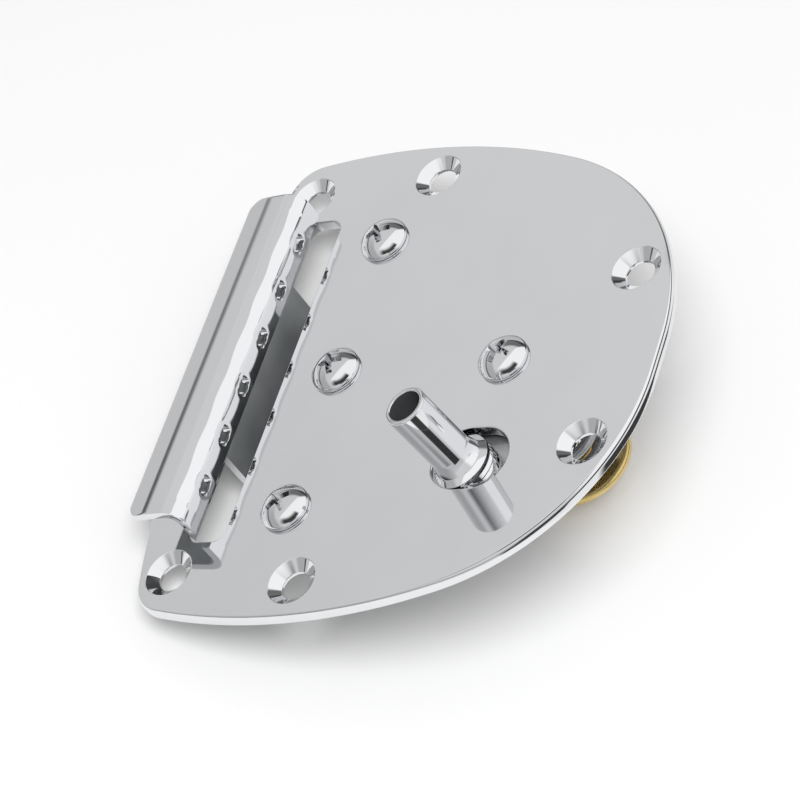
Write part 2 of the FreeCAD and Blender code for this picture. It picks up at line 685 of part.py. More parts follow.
# Arm collet, its ring, washer and nut, all along one axis on the lever

def make_arm_collet():
    pieces = [
        cylinder("collet_shank", COLLET_SHANK, f"{FLANGE_FOOT} - {COLLET_FOOT}", *COLLET_AT, COLLET_FOOT),
        cylinder("collet_flange", COLLET_FLANGE, "collet_flange_height", *COLLET_AT, FLANGE_FOOT),
        cone("collet_shoulder", COLLET_FLANGE, COLLET_FLARE, "collet_shoulder_height",
             *COLLET_AT, FLANGE_SHOULDER),
        cone("collet_flare", COLLET_FLARE, COLLET_TUBE, "collet_flare_height", *COLLET_AT, FLARE_FOOT),
        cylinder("collet_tube", COLLET_TUBE, "collet_tube_height - collet_rim_round", *COLLET_AT, FLARE_TOP),
        cone("collet_rim", COLLET_TUBE, f"{COLLET_TUBE} - collet_rim_round", "collet_rim_round",
             *COLLET_AT, f"{COLLET_TOP} - collet_rim_round"),
    ]
    bore = cylinder("collet_bore", "collet_bore_radius", f"{COLLET_TOP} - {COLLET_FOOT} + 2 * overrun",
                    *COLLET_AT, f"{COLLET_FOOT} - overrun")
    collet = cut("arm_collet", fuse("collet_turned", pieces), bore)
    collet.Label = "arm_collet"
    set_on_lever(collet)
    return collet


def make_collet_ring():
    outside = cylinder("ring_outside", COLLET_FLANGE, "collet_ring_height", *COLLET_AT, LEVER_TOP)
    hole = cylinder("ring_hole", COLLET_HOLE, "collet_ring_height + 2 * overrun", *COLLET_AT,
                    f"{LEVER_TOP} - overrun")
    groove_foot = f"({LEVER_TOP} + (collet_ring_height - collet_groove_width) / 2)"
    around = cylinder("ring_groove_outside", f"{COLLET_FLANGE} + overrun", "collet_groove_width", *COLLET_AT,
                      groove_foot)
    core = cylinder("ring_groove_core", f"{COLLET_FLANGE} - collet_groove_depth", "collet_groove_width",
                    *COLLET_AT, groove_foot)
    ring = cut("collet_ring", cut("ring_turned", outside, hole), cut("ring_groove", around, core))
    ring.Label = "collet_ring"
    set_on_lever(ring)
    return ring


def make_collet_washer():
    foot = f"({LEVER_UNDERSIDE} - collet_washer_thickness)"
    disc = cylinder("collet_washer_disc", f"{COLLET_SHANK} + collet_washer_width", "collet_washer_thickness",
                    *COLLET_AT, foot)
    hole = cylinder("collet_washer_hole", COLLET_HOLE, "collet_washer_thickness + 2 * overrun", *COLLET_AT,
                    f"{foot} - overrun")
    washer = cut("collet_washer", disc, hole)
    washer.Label = "collet_washer"
    set_on_lever(washer)
    return washer


def make_collet_nut():
    foot = f"({LEVER_UNDERSIDE} - collet_washer_thickness - collet_nut_height)"
    hexagon = doc.addObject("Part::Prism", "collet_nut_hexagon")
    hexagon.Polygon = 6
    hexagon.setExpression("Circumradius", cell(f"({COLLET_SHANK} + collet_nut_wall) / cos(30 deg)"))
    hexagon.setExpression("Height", cell("collet_nut_height"))
    move(hexagon, *COLLET_AT, foot)
    tapped_radius = f"{COLLET_SHANK} + thread_clearance"
    hole = cylinder("collet_nut_hole", tapped_radius, "collet_nut_height + 2 * overrun",
                    *COLLET_AT, f"{foot} - overrun")
    nut = cut("collet_nut", hexagon, hole)
    nut.Label = "collet_nut"
    set_on_lever(nut)
    return nut


# Tension spring, its seat and its nut

def make_spring_seat():
    """A shallow cup under the lever that keeps the spring's top coil in place."""
    foot = f"({SEAT_FACE} - seat_rim_height)"
    height = "(seat_thickness + seat_rim_height)"
    place = (SCREW_REACH, "0")
    cup = cylinder("seat_cup", SEAT_RADIUS, height, *place, foot)
    hollow = cylinder("seat_hollow", f"{SEAT_RADIUS} - seat_rim_width", "seat_rim_height + overrun", *place,
                      f"{foot} - overrun")
    hole = cylinder("seat_hole", LEVER_SCREW_HOLE, f"{height} + 2 * overrun", *place, f"{foot} - overrun")
    seat = cut("spring_seat", cup, fuse("seat_cuts", [hollow, hole]))
    seat.Label = "spring_seat"
    set_on_lever(seat)
    return seat


def make_spring_nut():
    place = ("tension_screw_x", "0")
    disc = cylinder("nut_disc", NUT_RADIUS, "nut_disc_thickness", *place, NUT_FOOT)
    rounded = doc.addObject("Part::Fillet", "nut_disc_rounded")
    rounded.Base = disc
    doc.recompute()
    edge_radius = number("nut_edge_radius")
    rounded.Edges = [(n, edge_radius, edge_radius) for n, edge in enumerate(disc.Shape.Edges, start=1)
                     if isinstance(edge.Curve, Part.Circle)]
    hub = cylinder("nut_hub", NUT_HUB, "nut_hub_height + nut_disc_thickness / 2", *place,
                   "-nut_top - nut_disc_thickness / 2")
    bore = cylinder("nut_bore", TAPPED_RADIUS, "nut_disc_thickness + nut_hub_height + 2 * overrun", *place,
                    f"{NUT_FOOT} - overrun")
    nut = cut("spring_nut", fuse("nut_turned", [rounded, hub]), bore)
    nut.Label = "spring_nut"
    return nut


def spring_heights(foot, top, end_pitch):
    """Heights of the wire's middle at each quarter turn, with close turns at both ends."""
    end_step = end_pitch / 4
    middle_quarters = SPRING_QUARTERS - 2 * SPRING_END_QUARTERS
    middle_step = (top - foot - 2 * SPRING_END_QUARTERS * end_step) / middle_quarters
    end_steps = [end_step] * SPRING_END_QUARTERS
    heights = [foot]
    for step in end_steps + [middle_step] * middle_quarters + end_steps:
        heights.append(heights[-1] + step)
    return heights


def biarc(start, start_way, end, end_way):
    """Two arcs that join two points with the given directions."""
    chord = end - start
    ways = start_way + end_way
    bend = 2 * (1 - start_way.dot(end_way))
    slope = chord.dot(ways)
    reach = (-slope + math.sqrt(slope ** 2 + bend * chord.dot(chord))) / bend
    first_knee = start + start_way * reach
    second_knee = end - end_way * reach
    middle = (first_knee + second_knee) * 0.5
    return [arc_round(start, first_knee, middle), arc_round(middle, second_knee, end)]


def arc_round(start, knee, end):
    """The arc from start to end whose end tangents meet at knee."""
    foot = (start + end) * 0.5
    half_chord = (end - start).Length / 2
    lean = math.acos(half_chord / (knee - start).Length)
    crown = foot + (knee - foot).normalize() * (half_chord * math.tan(lean / 2))
    return Part.Arc(start, crown, end)


def make_tension_spring():
    """One unbroken wire from the nut's disc up to the seat, with a straight end at each side."""
    radius = number("spring_mean_radius")
    wire = number("spring_wire")
    gap = number("spring_seat_gap")
    seat_face = number(f"{SCREW_REACH} * {SIN} + {SEAT_FACE} * {COS} - {PIVOT_DEPTH}")
    seat_slope = number(f"{SPRING_OUTSIDE} * {SIN}")
    foot = -number("nut_top") + gap + wire / 2
    top = seat_face - seat_slope - gap - wire / 2
    axis_x = number("tension_screw_x")
    heights = spring_heights(foot, top, number("spring_wire + spring_end_gap"))
    points = []
    ways = []
    last = len(heights) - 1
    for quarter, height in enumerate(heights):
        angle = quarter * math.pi / 2
        points.append(FreeCAD.Vector(axis_x + radius * math.cos(angle), radius * math.sin(angle), height))
        climb = (heights[min(quarter + 1, last)] - heights[max(quarter - 1, 0)])
        climb /= (min(quarter + 1, last) - max(quarter - 1, 0)) * math.pi / 2
        ways.append(FreeCAD.Vector(-radius * math.sin(angle), radius * math.cos(angle), climb).normalize())
    arcs = []
    for quarter in range(last):
        arcs += biarc(points[quarter], ways[quarter], points[quarter + 1], ways[quarter + 1])
    lead_in = Part.LineSegment(points[0] - ways[0] * wire, points[0])
    lead_out = Part.LineSegment(points[last], points[last] + ways[last] * wire)
    curves = [lead_in, *arcs, lead_out]
    path = Part.Wire([curve.toShape() for curve in curves])
    section = Part.Wire(Part.makeCircle(wire / 2, points[0] - ways[0] * wire, ways[0]))
    shell = Part.BRepOffsetAPI.MakePipeShell(path)
    shell.add(section)
    shell.build()
    shell.makeSolid()
    spring = doc.addObject("Part::Feature", "tension_spring")
    spring.Label = "tension_spring"
    spring.Shape = shell.shape()
    report_spring_gap(path, wire, radius)
    return spring


def report_spring_gap(path, wire, radius):
    """Prints the least gap between stretches of the wire that are over a third of a turn apart."""
    count = int(path.Length / (wire / 4))
    points = path.discretize(Number=count)
    step = path.Length / (count - 1)
    apart = int(2 * math.pi * radius / 3 / step)
    least = min((points[a] - points[b]).Length for a in range(count) for b in range(a + apart, count))
    print(f"tension spring: least gap to itself {least - wire:.2f} mm")


# The whole bridge

parts = [make_base_plate(), make_fulcrum_bar()]
for side, place in (("far", 1), ("centre", 0), ("near", -1)):
    parts.append(make_screw(f"pivot_screw_{side}", "pivot_screw_x", f"{place} * pivot_screw_spacing",
                            f"{BAR_THICKNESS} - pivot_screw_setback"))
parts.append(make_screw("tension_screw", "tension_screw_x", "0", TENSION_SCREW_DEPTH))
parts += [make_string_anchor(), make_lever_plate()]
for side, sign in (("far", ""), ("near", "-")):
    parts.append(make_rivet(f"lever_rivet_{side}", sign))
parts += [make_arm_collet(), make_collet_ring(), make_collet_washer(), make_collet_nut()]
parts += [make_spring_seat(), make_spring_nut(), make_tension_spring()]
doc.recompute()

for item in doc.Objects:
    if "Invalid" in item.State or "Error" in item.State:
        raise RuntimeError(f"{item.Name} failed: {item.State}")
for part in parts:
    if part.Shape.isNull() or not part.Shape.isValid() or not part.Shape.Solids:
        raise RuntimeError(f"{part.Label} has no valid solid")

os.makedirs("parts", exist_ok=True)
for part in parts:
    part.Shape.exportStep(f"parts/{part.Label}.step")
    print(f"{part.Label}: {len(part.Shape.Solids)} solid, {part.Shape.Volume:.1f} mm3")
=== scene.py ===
import json
import math

import bmesh
import bpy
import numpy as np
from mathutils import Matrix, Vector
from mathutils.geometry import delaunay_2d_cdt


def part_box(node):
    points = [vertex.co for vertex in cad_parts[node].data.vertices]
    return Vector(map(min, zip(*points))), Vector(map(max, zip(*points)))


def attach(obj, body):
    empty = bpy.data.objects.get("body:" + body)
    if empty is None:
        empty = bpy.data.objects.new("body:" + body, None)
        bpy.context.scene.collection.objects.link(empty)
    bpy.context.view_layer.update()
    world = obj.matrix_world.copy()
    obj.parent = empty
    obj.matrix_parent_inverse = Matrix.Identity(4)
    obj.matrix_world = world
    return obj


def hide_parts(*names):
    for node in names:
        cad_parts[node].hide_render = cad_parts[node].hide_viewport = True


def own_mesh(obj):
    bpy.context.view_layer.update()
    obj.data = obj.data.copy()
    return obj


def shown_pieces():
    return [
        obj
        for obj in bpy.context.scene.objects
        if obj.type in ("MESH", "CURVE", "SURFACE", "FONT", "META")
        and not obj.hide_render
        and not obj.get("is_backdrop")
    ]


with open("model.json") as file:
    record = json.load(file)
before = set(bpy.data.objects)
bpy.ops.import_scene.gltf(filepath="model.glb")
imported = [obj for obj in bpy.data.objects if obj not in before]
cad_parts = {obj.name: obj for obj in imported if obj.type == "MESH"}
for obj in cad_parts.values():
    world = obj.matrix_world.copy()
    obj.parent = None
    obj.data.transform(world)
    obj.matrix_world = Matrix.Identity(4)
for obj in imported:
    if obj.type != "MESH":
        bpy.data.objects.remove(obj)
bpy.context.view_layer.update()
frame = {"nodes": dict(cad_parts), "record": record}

MM = 0.001

# Sizes in mm, in the part's frame: +X to the neck, +Y to the far side, +Z up from the plate's underside
PLATE_TOP = 2.3
PLATE_HALF_WIDTH = 50.0
PLATE_WIDEST_X = -7.8
PLATE_FRONT_X = 56.5
PLATE_REAR_X = -37.2
PLATE_FRONT_RADIUS = 400.0
PLATE_SHOULDER_CENTRE = 3.4
PLATE_SIDE_RADIUS = 108.0
PLATE_CORNER_RADIUS = 7.0
PLATE_REAR_RADIUS = 187.0
PLATE_EDGE_SETBACK = 0.5
PLATE_EDGE_DROP = 1.2
PLATE_FOOT_ROUND = 0.2
BODY_SCREW_HOLES = [(-26.4, 40.6), (0.0, 42.8), (47.5, 17.5)]
BODY_SCREW_RADIUS = 2.65
SINK_RADIUS = 4.5
SINK_DEPTH = 1.6
SINK_RIM_ROUND = 0.12
# A countersink's softened rims, out and down from their edges, as shares of the rounding
SINK_RIM_SHARES = [(1, 0), (0.35, 0.2), (-0.5, 0.8)]
SINK_FOOT_SHARES = [(0.5, -0.5), (0.1, 0.2), (0, 1)]
SLOT_REAR_X = -25.2
SLOT_FRONT_X = -17.6
SLOT_HALF_LENGTH = 34.5
SLOT_CORNER_RADIUS = 2.4
HOLE_RIM_ROUND = 0.25
ARM_HOLE_X = 26.98
ARM_HOLE_Y = -19.7
ARM_HOLE_RADIUS = 6.05
ARM_HOLE_HALF_SHIFT = 1.2
SCREW_RADIUS = 2.5
SCREW_HOLE_RADIUS = 2.9
PIVOT_SCREW_X = -6.5
PIVOT_SCREW_SPACING = 28.5
PIVOT_SCREW_DEPTH = 3.9
TENSION_SCREW_X = 27.4
TENSION_SCREW_DEPTH = 29.9
TENSION_PLAIN_LENGTH = 12.0
# How far round each head is turned, in degrees
PIVOT_SCREW_TURNS = {"far": 25, "centre": 20, "near": 40}
TENSION_SCREW_TURN = 70
THREAD_DEPTH = 0.32
THREAD_PITCH = 0.8
HEAD_RADIUS = 4.58
HEAD_RIM_HEIGHT = 0.8
HEAD_DOME_RISE = 2.3
HEAD_EDGE_ROUND = 0.3
HEAD_TOP_RADIUS = 0.02
HEAD_NECK_SHARE = 0.8
# A head's softened edges, in from its side and up or down from its foot or brow, as shares of the rounding
HEAD_FOOT_SHARES = [(1, 0), (0.3, 0.3), (0, 1)]
HEAD_BROW_SHARES = [(0, 1), (0.12, 0.1)]
RECESS_REACH = 2.7
RECESS_HALF_WIDTH = 0.62
RECESS_DEPTH = 1.9
RECESS_FOOT_SHARE = 0.55
RECESS_LIFT_SHARE = 0.5
PIVOT_X = -18.0
PIVOT_Z = -7.199256
LEVER_TILT = math.radians(6.8)
SHEET = 1.5
ANCHOR_HALF_LENGTH = 34.4
WALL_FRONT_X = -21.6
WALL_FOOT_Z = 4.4
ROOF_TOP_Z = 11.2
ROOF_SLOPE = math.radians(3.7)
ROOF_BEND_RADIUS = 3.4
ROOF_FLAT = 2.54
LIP_BEND_RADIUS = 22.0
LIP_SLOPE = math.radians(12.5)
LIP_LENGTH = 1.93
LIP_CORNER_RADIUS = 2.7
NECK_HALF_WIDTH = 18.5
FOOT_BEND_RADIUS = 1.0
FOOT_REACH = 15.0
LEVER_UNDERSIDE = -2.2
STRING_COUNT = 6
STRING_PITCH = 10.4
STRING_HOLE_Z = 6.7
STRING_HOLE_RADIUS = 1.9
# The share of each string's cell that its hole takes up, and how far over the wall's foot the cell ends
HOLE_CELL_SHARE = 0.3
HOLE_MARGIN = 0.15
DISH_RADIUS = 2.6
DISH_DEPTH = 0.05
RIPPLE = 0.08
RIPPLE_RISE = 2.6
RIPPLE_REACH = 3.6
SHEET_EDGE_ROUND = 0.22
SHEET_BEVEL_DEGREES = 55
COLLET_REACH = 44.008
COLLET_SIDE = -20.2
COLLET_BORE = 2.9
COLLET_FOOT = -9.4
COLLET_SHANK_RADIUS = 4.0
COLLET_FLANGE_RADIUS = 5.4
COLLET_FLANGE_FOOT = 3.3
COLLET_FLANGE_TOP = 4.2
COLLET_STEP_RADIUS = 4.5
COLLET_STEP_TOP = 4.85
COLLET_FLARE_RADIUS = 4.32
COLLET_FLARE_FOOT = 4.95
COLLET_FLARE_TOP = 6.7
COLLET_TUBE_RADIUS = 3.75
COLLET_TOP = 20.1
COLLET_BORE_ROUND = 0.2
COLLET_SHANK_ROUND = 0.3
COLLET_FLANGE_FOOT_ROUND = 0.1
COLLET_FLANGE_ROUND = 0.12
COLLET_STEP_ROUND = 0.08
COLLET_FLARE_FOOT_ROUND = 0.05
COLLET_FLARE_ROUND = 6.0
COLLET_TOP_ROUND = 0.32
COLLET_MOUTH_ROUND = 0.25
BORE_SKIN = 0.01
RING_BORE = 4.1
RING_RADIUS = COLLET_FLANGE_RADIUS
RING_GROOVE_RADIUS = 4.85
RING_FOOT = 0.3
RING_TOP = COLLET_FLANGE_FOOT
RING_RIBS = 3
RING_EDGE_ROUND = 0.06
RING_RIB_SIDE = 0.2
SPRING_MEAN_RADIUS = 6.4
SPRING_WIRE_RADIUS = 1.0
SPRING_FOOT_Z = -24.6
SPRING_QUARTERS = 22
SPRING_END_QUARTERS = 4
SPRING_END_STEP = 0.65
SPRING_TIP_SHARES = [0.55, 0.85, 0.97]
NUT_TOP_Z = -25.9
NUT_FOOT_Z = -27.7
NUT_RADIUS = 9.5
NUT_HUB_RADIUS = 4.6
NUT_HUB_TOP_Z = -21.9
NUT_BORE = 2.55
NUT_CHAMFER_WIDTH = 1.2
NUT_CHAMFER_HEIGHT = 0.25
NUT_BORE_ROUND = 0.25
NUT_FACE_ROUND = 0.3
NUT_CHAMFER_ROUND = 0.6
NUT_RIM_ROUND = 0.7
NUT_HUB_FOOT_ROUND = 0.25
NUT_HUB_ROUND = 0.4
NUT_MOUTH_ROUND = 0.2

# How far apart points stand along an edge or a section
OUTLINE_SPACING = 0.5
HOLE_SPACING = 0.2
SHEET_SPACING = 0.22
NECK_SPACING = 0.8
# Small shares that keep sums clear of zero and comparisons clear of rounding
TINY = 1e-12
SHARE_SLACK = 1e-6
# Tighter bends than this get as many points as a bend of this radius
FINE_BEND_RADIUS = 2.0

# Camera: where it stands, how it is turned (degrees about X, Y and Z) and its lens for a 36 mm sensor
CAMERA_PLACE = (295.709, -269.764, 343.449)
CAMERA_TURN = (41.4113, 28.4420, 19.1234)
CAMERA_LENS = 138.572
SENSOR_WIDTH = 36.0
# How near and how far the camera sees, in metres
CAMERA_NEAR = 0.01
CAMERA_FAR = 50

# The part of a noise texture's range that is used, and how deep the finishes' relief is, in metres
NOISE_LOW = 0.3
NOISE_HIGH = 0.7
POLISH_RELIEF = 0.00002
GRAIN_RELIEF = 0.00003


# Materials

def noise(nodes, links, scale, detail, stretch=None):
    """A noise texture in the part's own space, drawn out along an axis where stretch says so."""
    place = nodes.new("ShaderNodeTexCoord")
    texture = nodes.new("ShaderNodeTexNoise")
    texture.inputs["Scale"].default_value = scale
    texture.inputs["Detail"].default_value = detail
    source = place.outputs["Object"]
    if stretch:
        mapping = nodes.new("ShaderNodeMapping")
        mapping.inputs["Scale"].default_value = stretch
        links.new(source, mapping.inputs["Vector"])
        source = mapping.outputs["Vector"]
    links.new(source, texture.inputs["Vector"])
    return texture.outputs["Fac"]


def ranged(nodes, links, source, low, high, start=NOISE_LOW, end=NOISE_HIGH):
    """Maps a texture's values from start to end onto the values from low to high."""
    node = nodes.new("ShaderNodeMapRange")
    node.inputs["From Min"].default_value = start
    node.inputs["From Max"].default_value = end
    node.inputs["To Min"].default_value = low
    node.inputs["To Max"].default_value = high
    links.new(source, node.inputs["Value"])
    return node.outputs["Result"]


def tinted(nodes, links, source, dark, light):
    """A colour that goes from dark to light over a texture's middle range."""
    ramp = nodes.new("ShaderNodeValToRGB")
    ramp.color_ramp.elements[0].position = NOISE_LOW
    ramp.color_ramp.elements[0].color = (*dark, 1)
    ramp.color_ramp.elements[1].position = NOISE_HIGH
    ramp.color_ramp.elements[1].color = (*light, 1)
    links.new(source, ramp.inputs["Fac"])
    return ramp.outputs["Color"]


def bumped(nodes, links, shader, source, strength, distance):
    """Gives a shader the relief of a texture."""
    bump = nodes.new("ShaderNodeBump")
    bump.inputs["Strength"].default_value = strength
    bump.inputs["Distance"].default_value = distance
    links.new(source, bump.inputs["Height"])
    links.new(bump.outputs["Normal"], shader.inputs["Normal"])


def new_metal(name, metallic, dark, light, scale, detail):
    """A metal whose colour drifts from dark to light in soft clouds."""
    material = bpy.data.materials.new(name)
    material.use_nodes = True
    nodes, links = material.node_tree.nodes, material.node_tree.links
    shader = nodes["Principled BSDF"]
    shader.inputs["Metallic"].default_value = metallic
    clouds = noise(nodes, links, scale, detail)
    links.new(tinted(nodes, links, clouds, dark, light), shader.inputs["Base Color"])
    return material, nodes, links, shader


def chrome(name, dark, light, smooth, dull):
    """Polished plating with faint wipe marks and a hint of unevenness under the polish."""
    material, nodes, links, shader = new_metal(name, 1.0, dark, light, scale=60, detail=3)
    wipes = noise(nodes, links, scale=160, detail=5, stretch=(1, 5, 1))
    links.new(ranged(nodes, links, wipes, smooth, dull), shader.inputs["Roughness"])
    swell = noise(nodes, links, scale=420, detail=2)
    bumped(nodes, links, shader, swell, strength=0.05, distance=POLISH_RELIEF)
    return material


def steel(name, dark, light, smooth, dull, stretch):
    """Plain plated steel with drawn-out grain."""
    material, nodes, links, shader = new_metal(name, 0.8, dark, light, scale=90, detail=6)
    grain = noise(nodes, links, scale=700, detail=4, stretch=stretch)
    links.new(ranged(nodes, links, grain, smooth, dull), shader.inputs["Roughness"])
    bumped(nodes, links, shader, grain, strength=0.25, distance=GRAIN_RELIEF)
    return material


def shaded_dull_plating(name, dark, light):
    """Plating that was never polished: part metal, part grey scale, with a fine even grain; its dark greys
    also paint the shade on the undersides, backs and bore where it goes.
    """
    material, nodes, links, shader = new_metal(name, 0.6, dark, light, scale=110, detail=5)
    grain = noise(nodes, links, scale=900, detail=4)
    links.new(ranged(nodes, links, grain, low=0.36, high=0.52), shader.inputs["Roughness"])
    bumped(nodes, links, shader, grain, strength=0.15, distance=GRAIN_RELIEF)
    return material


def turned_brass(name, dark, light, axis_x):
    """Brass turned on a lathe: fine rings round its axis and patches of tarnish."""
    material, nodes, links, shader = new_metal(name, 1.0, dark, light, scale=240, detail=5)
    place = nodes.new("ShaderNodeTexCoord")
    mapping = nodes.new("ShaderNodeMapping")
    mapping.inputs["Location"].default_value = (-axis_x * MM, 0, 0)
    links.new(place.outputs["Object"], mapping.inputs["Vector"])
    rings = nodes.new("ShaderNodeTexWave")
    rings.wave_type = "RINGS"
    rings.rings_direction = "Z"
    rings.inputs["Scale"].default_value = 900
    rings.inputs["Distortion"].default_value = 1.5
    links.new(mapping.outputs["Vector"], rings.inputs["Vector"])
    roughness = ranged(nodes, links, rings.outputs["Fac"], low=0.2, high=0.34, start=0, end=1)
    links.new(roughness, shader.inputs["Roughness"])
    bumped(nodes, links, shader, rings.outputs["Fac"], strength=0.2, distance=POLISH_RELIEF)
    return material


polished = chrome("polished_chrome", dark=(0.765, 0.77, 0.785), light=(0.79, 0.795, 0.81),
                  smooth=0.03, dull=0.065)
screw_finish = chrome("screw_chrome", dark=(0.73, 0.735, 0.75), light=(0.77, 0.775, 0.79),
                      smooth=0.05, dull=0.11)
plain = steel("plain_steel", dark=(0.58, 0.585, 0.60), light=(0.68, 0.685, 0.70),
              smooth=0.24, dull=0.38, stretch=(0.05, 1, 1))
spring_finish = steel("spring_steel", dark=(0.36, 0.36, 0.375), light=(0.50, 0.50, 0.515),
                      smooth=0.22, dull=0.4, stretch=(1, 1, 0.2))
brass = turned_brass("brass", dark=(0.58, 0.43, 0.16), light=(0.72, 0.56, 0.25), axis_x=TENSION_SCREW_X)
# An unpolished finish whose dark grey also paints the shade under the plate and behind and under the string
# anchor
unpolished_shaded = shaded_dull_plating("unpolished_plating", dark=(0.27, 0.285, 0.29), light=(0.36, 0.375, 0.38))
# A dull near-black grey that paints the shade inside the collet's bore
bore_painted_shade = shaded_dull_plating("bore_plating_painted_shade", dark=(0.12, 0.125, 0.13), light=(0.16, 0.166, 0.17))
FINISHES = {"polished_chrome": polished, "screw_chrome": screw_finish, "plain_steel": plain,
            "spring_steel": spring_finish, "brass": brass}


# Meshes

def add_object(name, data):
    """An object with its mesh, lamp or lens, put in the scene."""
    added = bpy.data.objects.new(name, data)
    bpy.context.collection.objects.link(added)
    return added


def add_piece(name, mesh, body, slot, nodes, sharp=38):
    """Puts a finished mesh, in metres, in the place of nodes, with edges past sharp degrees left sharp."""
    mesh.validate()
    mesh.polygons.foreach_set("use_smooth", [True] * len(mesh.polygons))
    mesh.set_sharp_from_angle(angle=math.radians(sharp))
    if not mesh.materials:
        mesh.materials.append(FINISHES[slot])
    piece = add_object(name, mesh)
    weighted = piece.modifiers.new("even_normals", "WEIGHTED_NORMAL")
    weighted.keep_sharp = True
    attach(piece, body)
    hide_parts(*nodes)
    return piece


def to_mesh(name, points, faces):
    """A mesh from points in mm."""
    mesh = bpy.data.meshes.new(name)
    mesh.from_pydata([Vector(point) * MM for point in points], [], faces)
    return mesh


def two_finishes(mesh, dull, shaded_dull_finish=unpolished_shaded):
    """Polish on a mesh, left out on the faces that dull marks, which get a darker dull finish that paints
    their shade.
    """
    mesh.materials.append(polished)
    mesh.materials.append(shaded_dull_finish)
    mesh.polygons.foreach_set("material_index", dull)
    return mesh


def modified(mesh, set_up):
    """The mesh after the modifiers that set_up puts on a passing object."""
    passing = add_object("passing", mesh)
    set_up(passing)
    graph = bpy.context.evaluated_depsgraph_get()
    result = bpy.data.meshes.new_from_object(passing.evaluated_get(graph))
    bpy.data.objects.remove(passing)
    return result


def joined(name, *meshes):
    """Some meshes as one."""
    whole = bmesh.new()
    for mesh in meshes:
        whole.from_mesh(mesh)
    result = bpy.data.meshes.new(name)
    whole.to_mesh(result)
    whole.free()
    return result


def facing_out(mesh, fill=False):
    """The mesh with its faces turned outward and no loose points, and its open ends closed by fill."""
    shell = bmesh.new()
    shell.from_mesh(mesh)
    loose = [vertex for vertex in shell.verts if not vertex.link_faces]
    bmesh.ops.delete(shell, geom=loose, context="VERTS")
    if fill:
        open_edges = [edge for edge in shell.edges if edge.is_boundary]
        bmesh.ops.holes_fill(shell, edges=open_edges)
    bmesh.ops.recalc_face_normals(shell, faces=shell.faces)
    shell.to_mesh(mesh)
    shell.free()
    return mesh


def ring_faces(rings, around, closed=False):
    """Faces between rings of points, and from the last ring back to the first where closed says so."""
    faces = []
    for ring in range(rings if closed else rings - 1):
        below = ring * around
        above = (ring + 1) % rings * around
        for step in range(around):
            after = (step + 1) % around
            faces.append((below + step, below + after, above + after, above + step))
    return faces


def end_faces(rings, around):
    """The two faces that close the first and the last ring of points."""
    return [tuple(range(around))[::-1], tuple(range((rings - 1) * around, rings * around))]


def rounded_profile(corners, steps=5):
    """A profile of (radius, height) corners, each with its own rounding, as points."""
    points = []
    count = len(corners)
    for place, (radius, height, rounding) in enumerate(corners):
        here = Vector((radius, height))
        if rounding == 0:
            points.append(here)
            continue
        before = Vector(corners[place - 1][:2])
        after = Vector(corners[(place + 1) % count][:2])
        back = (before - here).normalized()
        on = (after - here).normalized()
        half = back.angle(on) / 2
        reach = rounding / math.tan(half)
        centre = here + (back + on).normalized() * (rounding / math.sin(half))
        start = here + back * reach - centre
        end = here + on * reach - centre
        turn = start.angle_signed(end)
        for step in range(steps + 1):
            swung = Matrix.Rotation(-turn * step / steps, 2) @ start
            points.append(centre + swung)
    return points


def lathe(name, profile, segments=96, closed=True):
    """Turns a profile of (radius, height) points round the Z axis."""
    points = []
    for radius, height in profile:
        for step in range(segments):
            angle = 2 * math.pi * step / segments
            points.append((radius * math.cos(angle), radius * math.sin(angle), height))
    return to_mesh(name, points, ring_faces(len(profile), segments, closed))


def place_mesh(mesh, x, y, z=0.0):
    """Moves a mesh to a place given in mm."""
    mesh.transform(Matrix.Translation(Vector((x, y, z)) * MM))
    return mesh


def set_on_lever(mesh, reach, side):
    """Moves a mesh drawn round the Z axis to a place on the tilted lever plate."""
    to_reach = Matrix.Translation(Vector((reach, side, 0)) * MM)
    tilt = Matrix.Rotation(-LEVER_TILT, 4, "Y")
    to_pivot = Matrix.Translation(Vector((PIVOT_X, 0, PIVOT_Z)) * MM)
    mesh.transform(to_pivot @ tilt @ to_reach)
    return mesh


# Base plate

# How a flat face is filled: the kind that leaves holes open, and how near two points count as one, in mm
INSIDE_WITH_HOLES = 2
SAME_POINT = 1e-7


def meeting_point(first, first_distance, second, second_distance, outward):
    """The point at two given distances from two centres, on the outward side."""
    step = second - first
    gap = step.length
    along = (first_distance ** 2 - second_distance ** 2 + gap ** 2) / (2 * gap)
    aside = math.sqrt(first_distance ** 2 - along ** 2)
    foot = first + step * (along / gap)
    square = Vector((-step.y, step.x)) * (aside / gap)
    return max(foot + square, foot - square, key=lambda point: point.dot(outward))


def bearing(centre, point):
    """The angle at which a point is seen from a centre."""
    return math.atan2(point.y - centre.y, point.x - centre.x)


def arc_points(centre, radius, start, end, spacing):
    """Points and outward directions along an arc, without its last point."""
    count = max(4, round(abs(end - start) * radius / spacing))
    angles = [start + (end - start) * step / count for step in range(count)]
    ways = [Vector((math.cos(angle), math.sin(angle))) for angle in angles]
    return [(centre + way * radius, way) for way in ways]


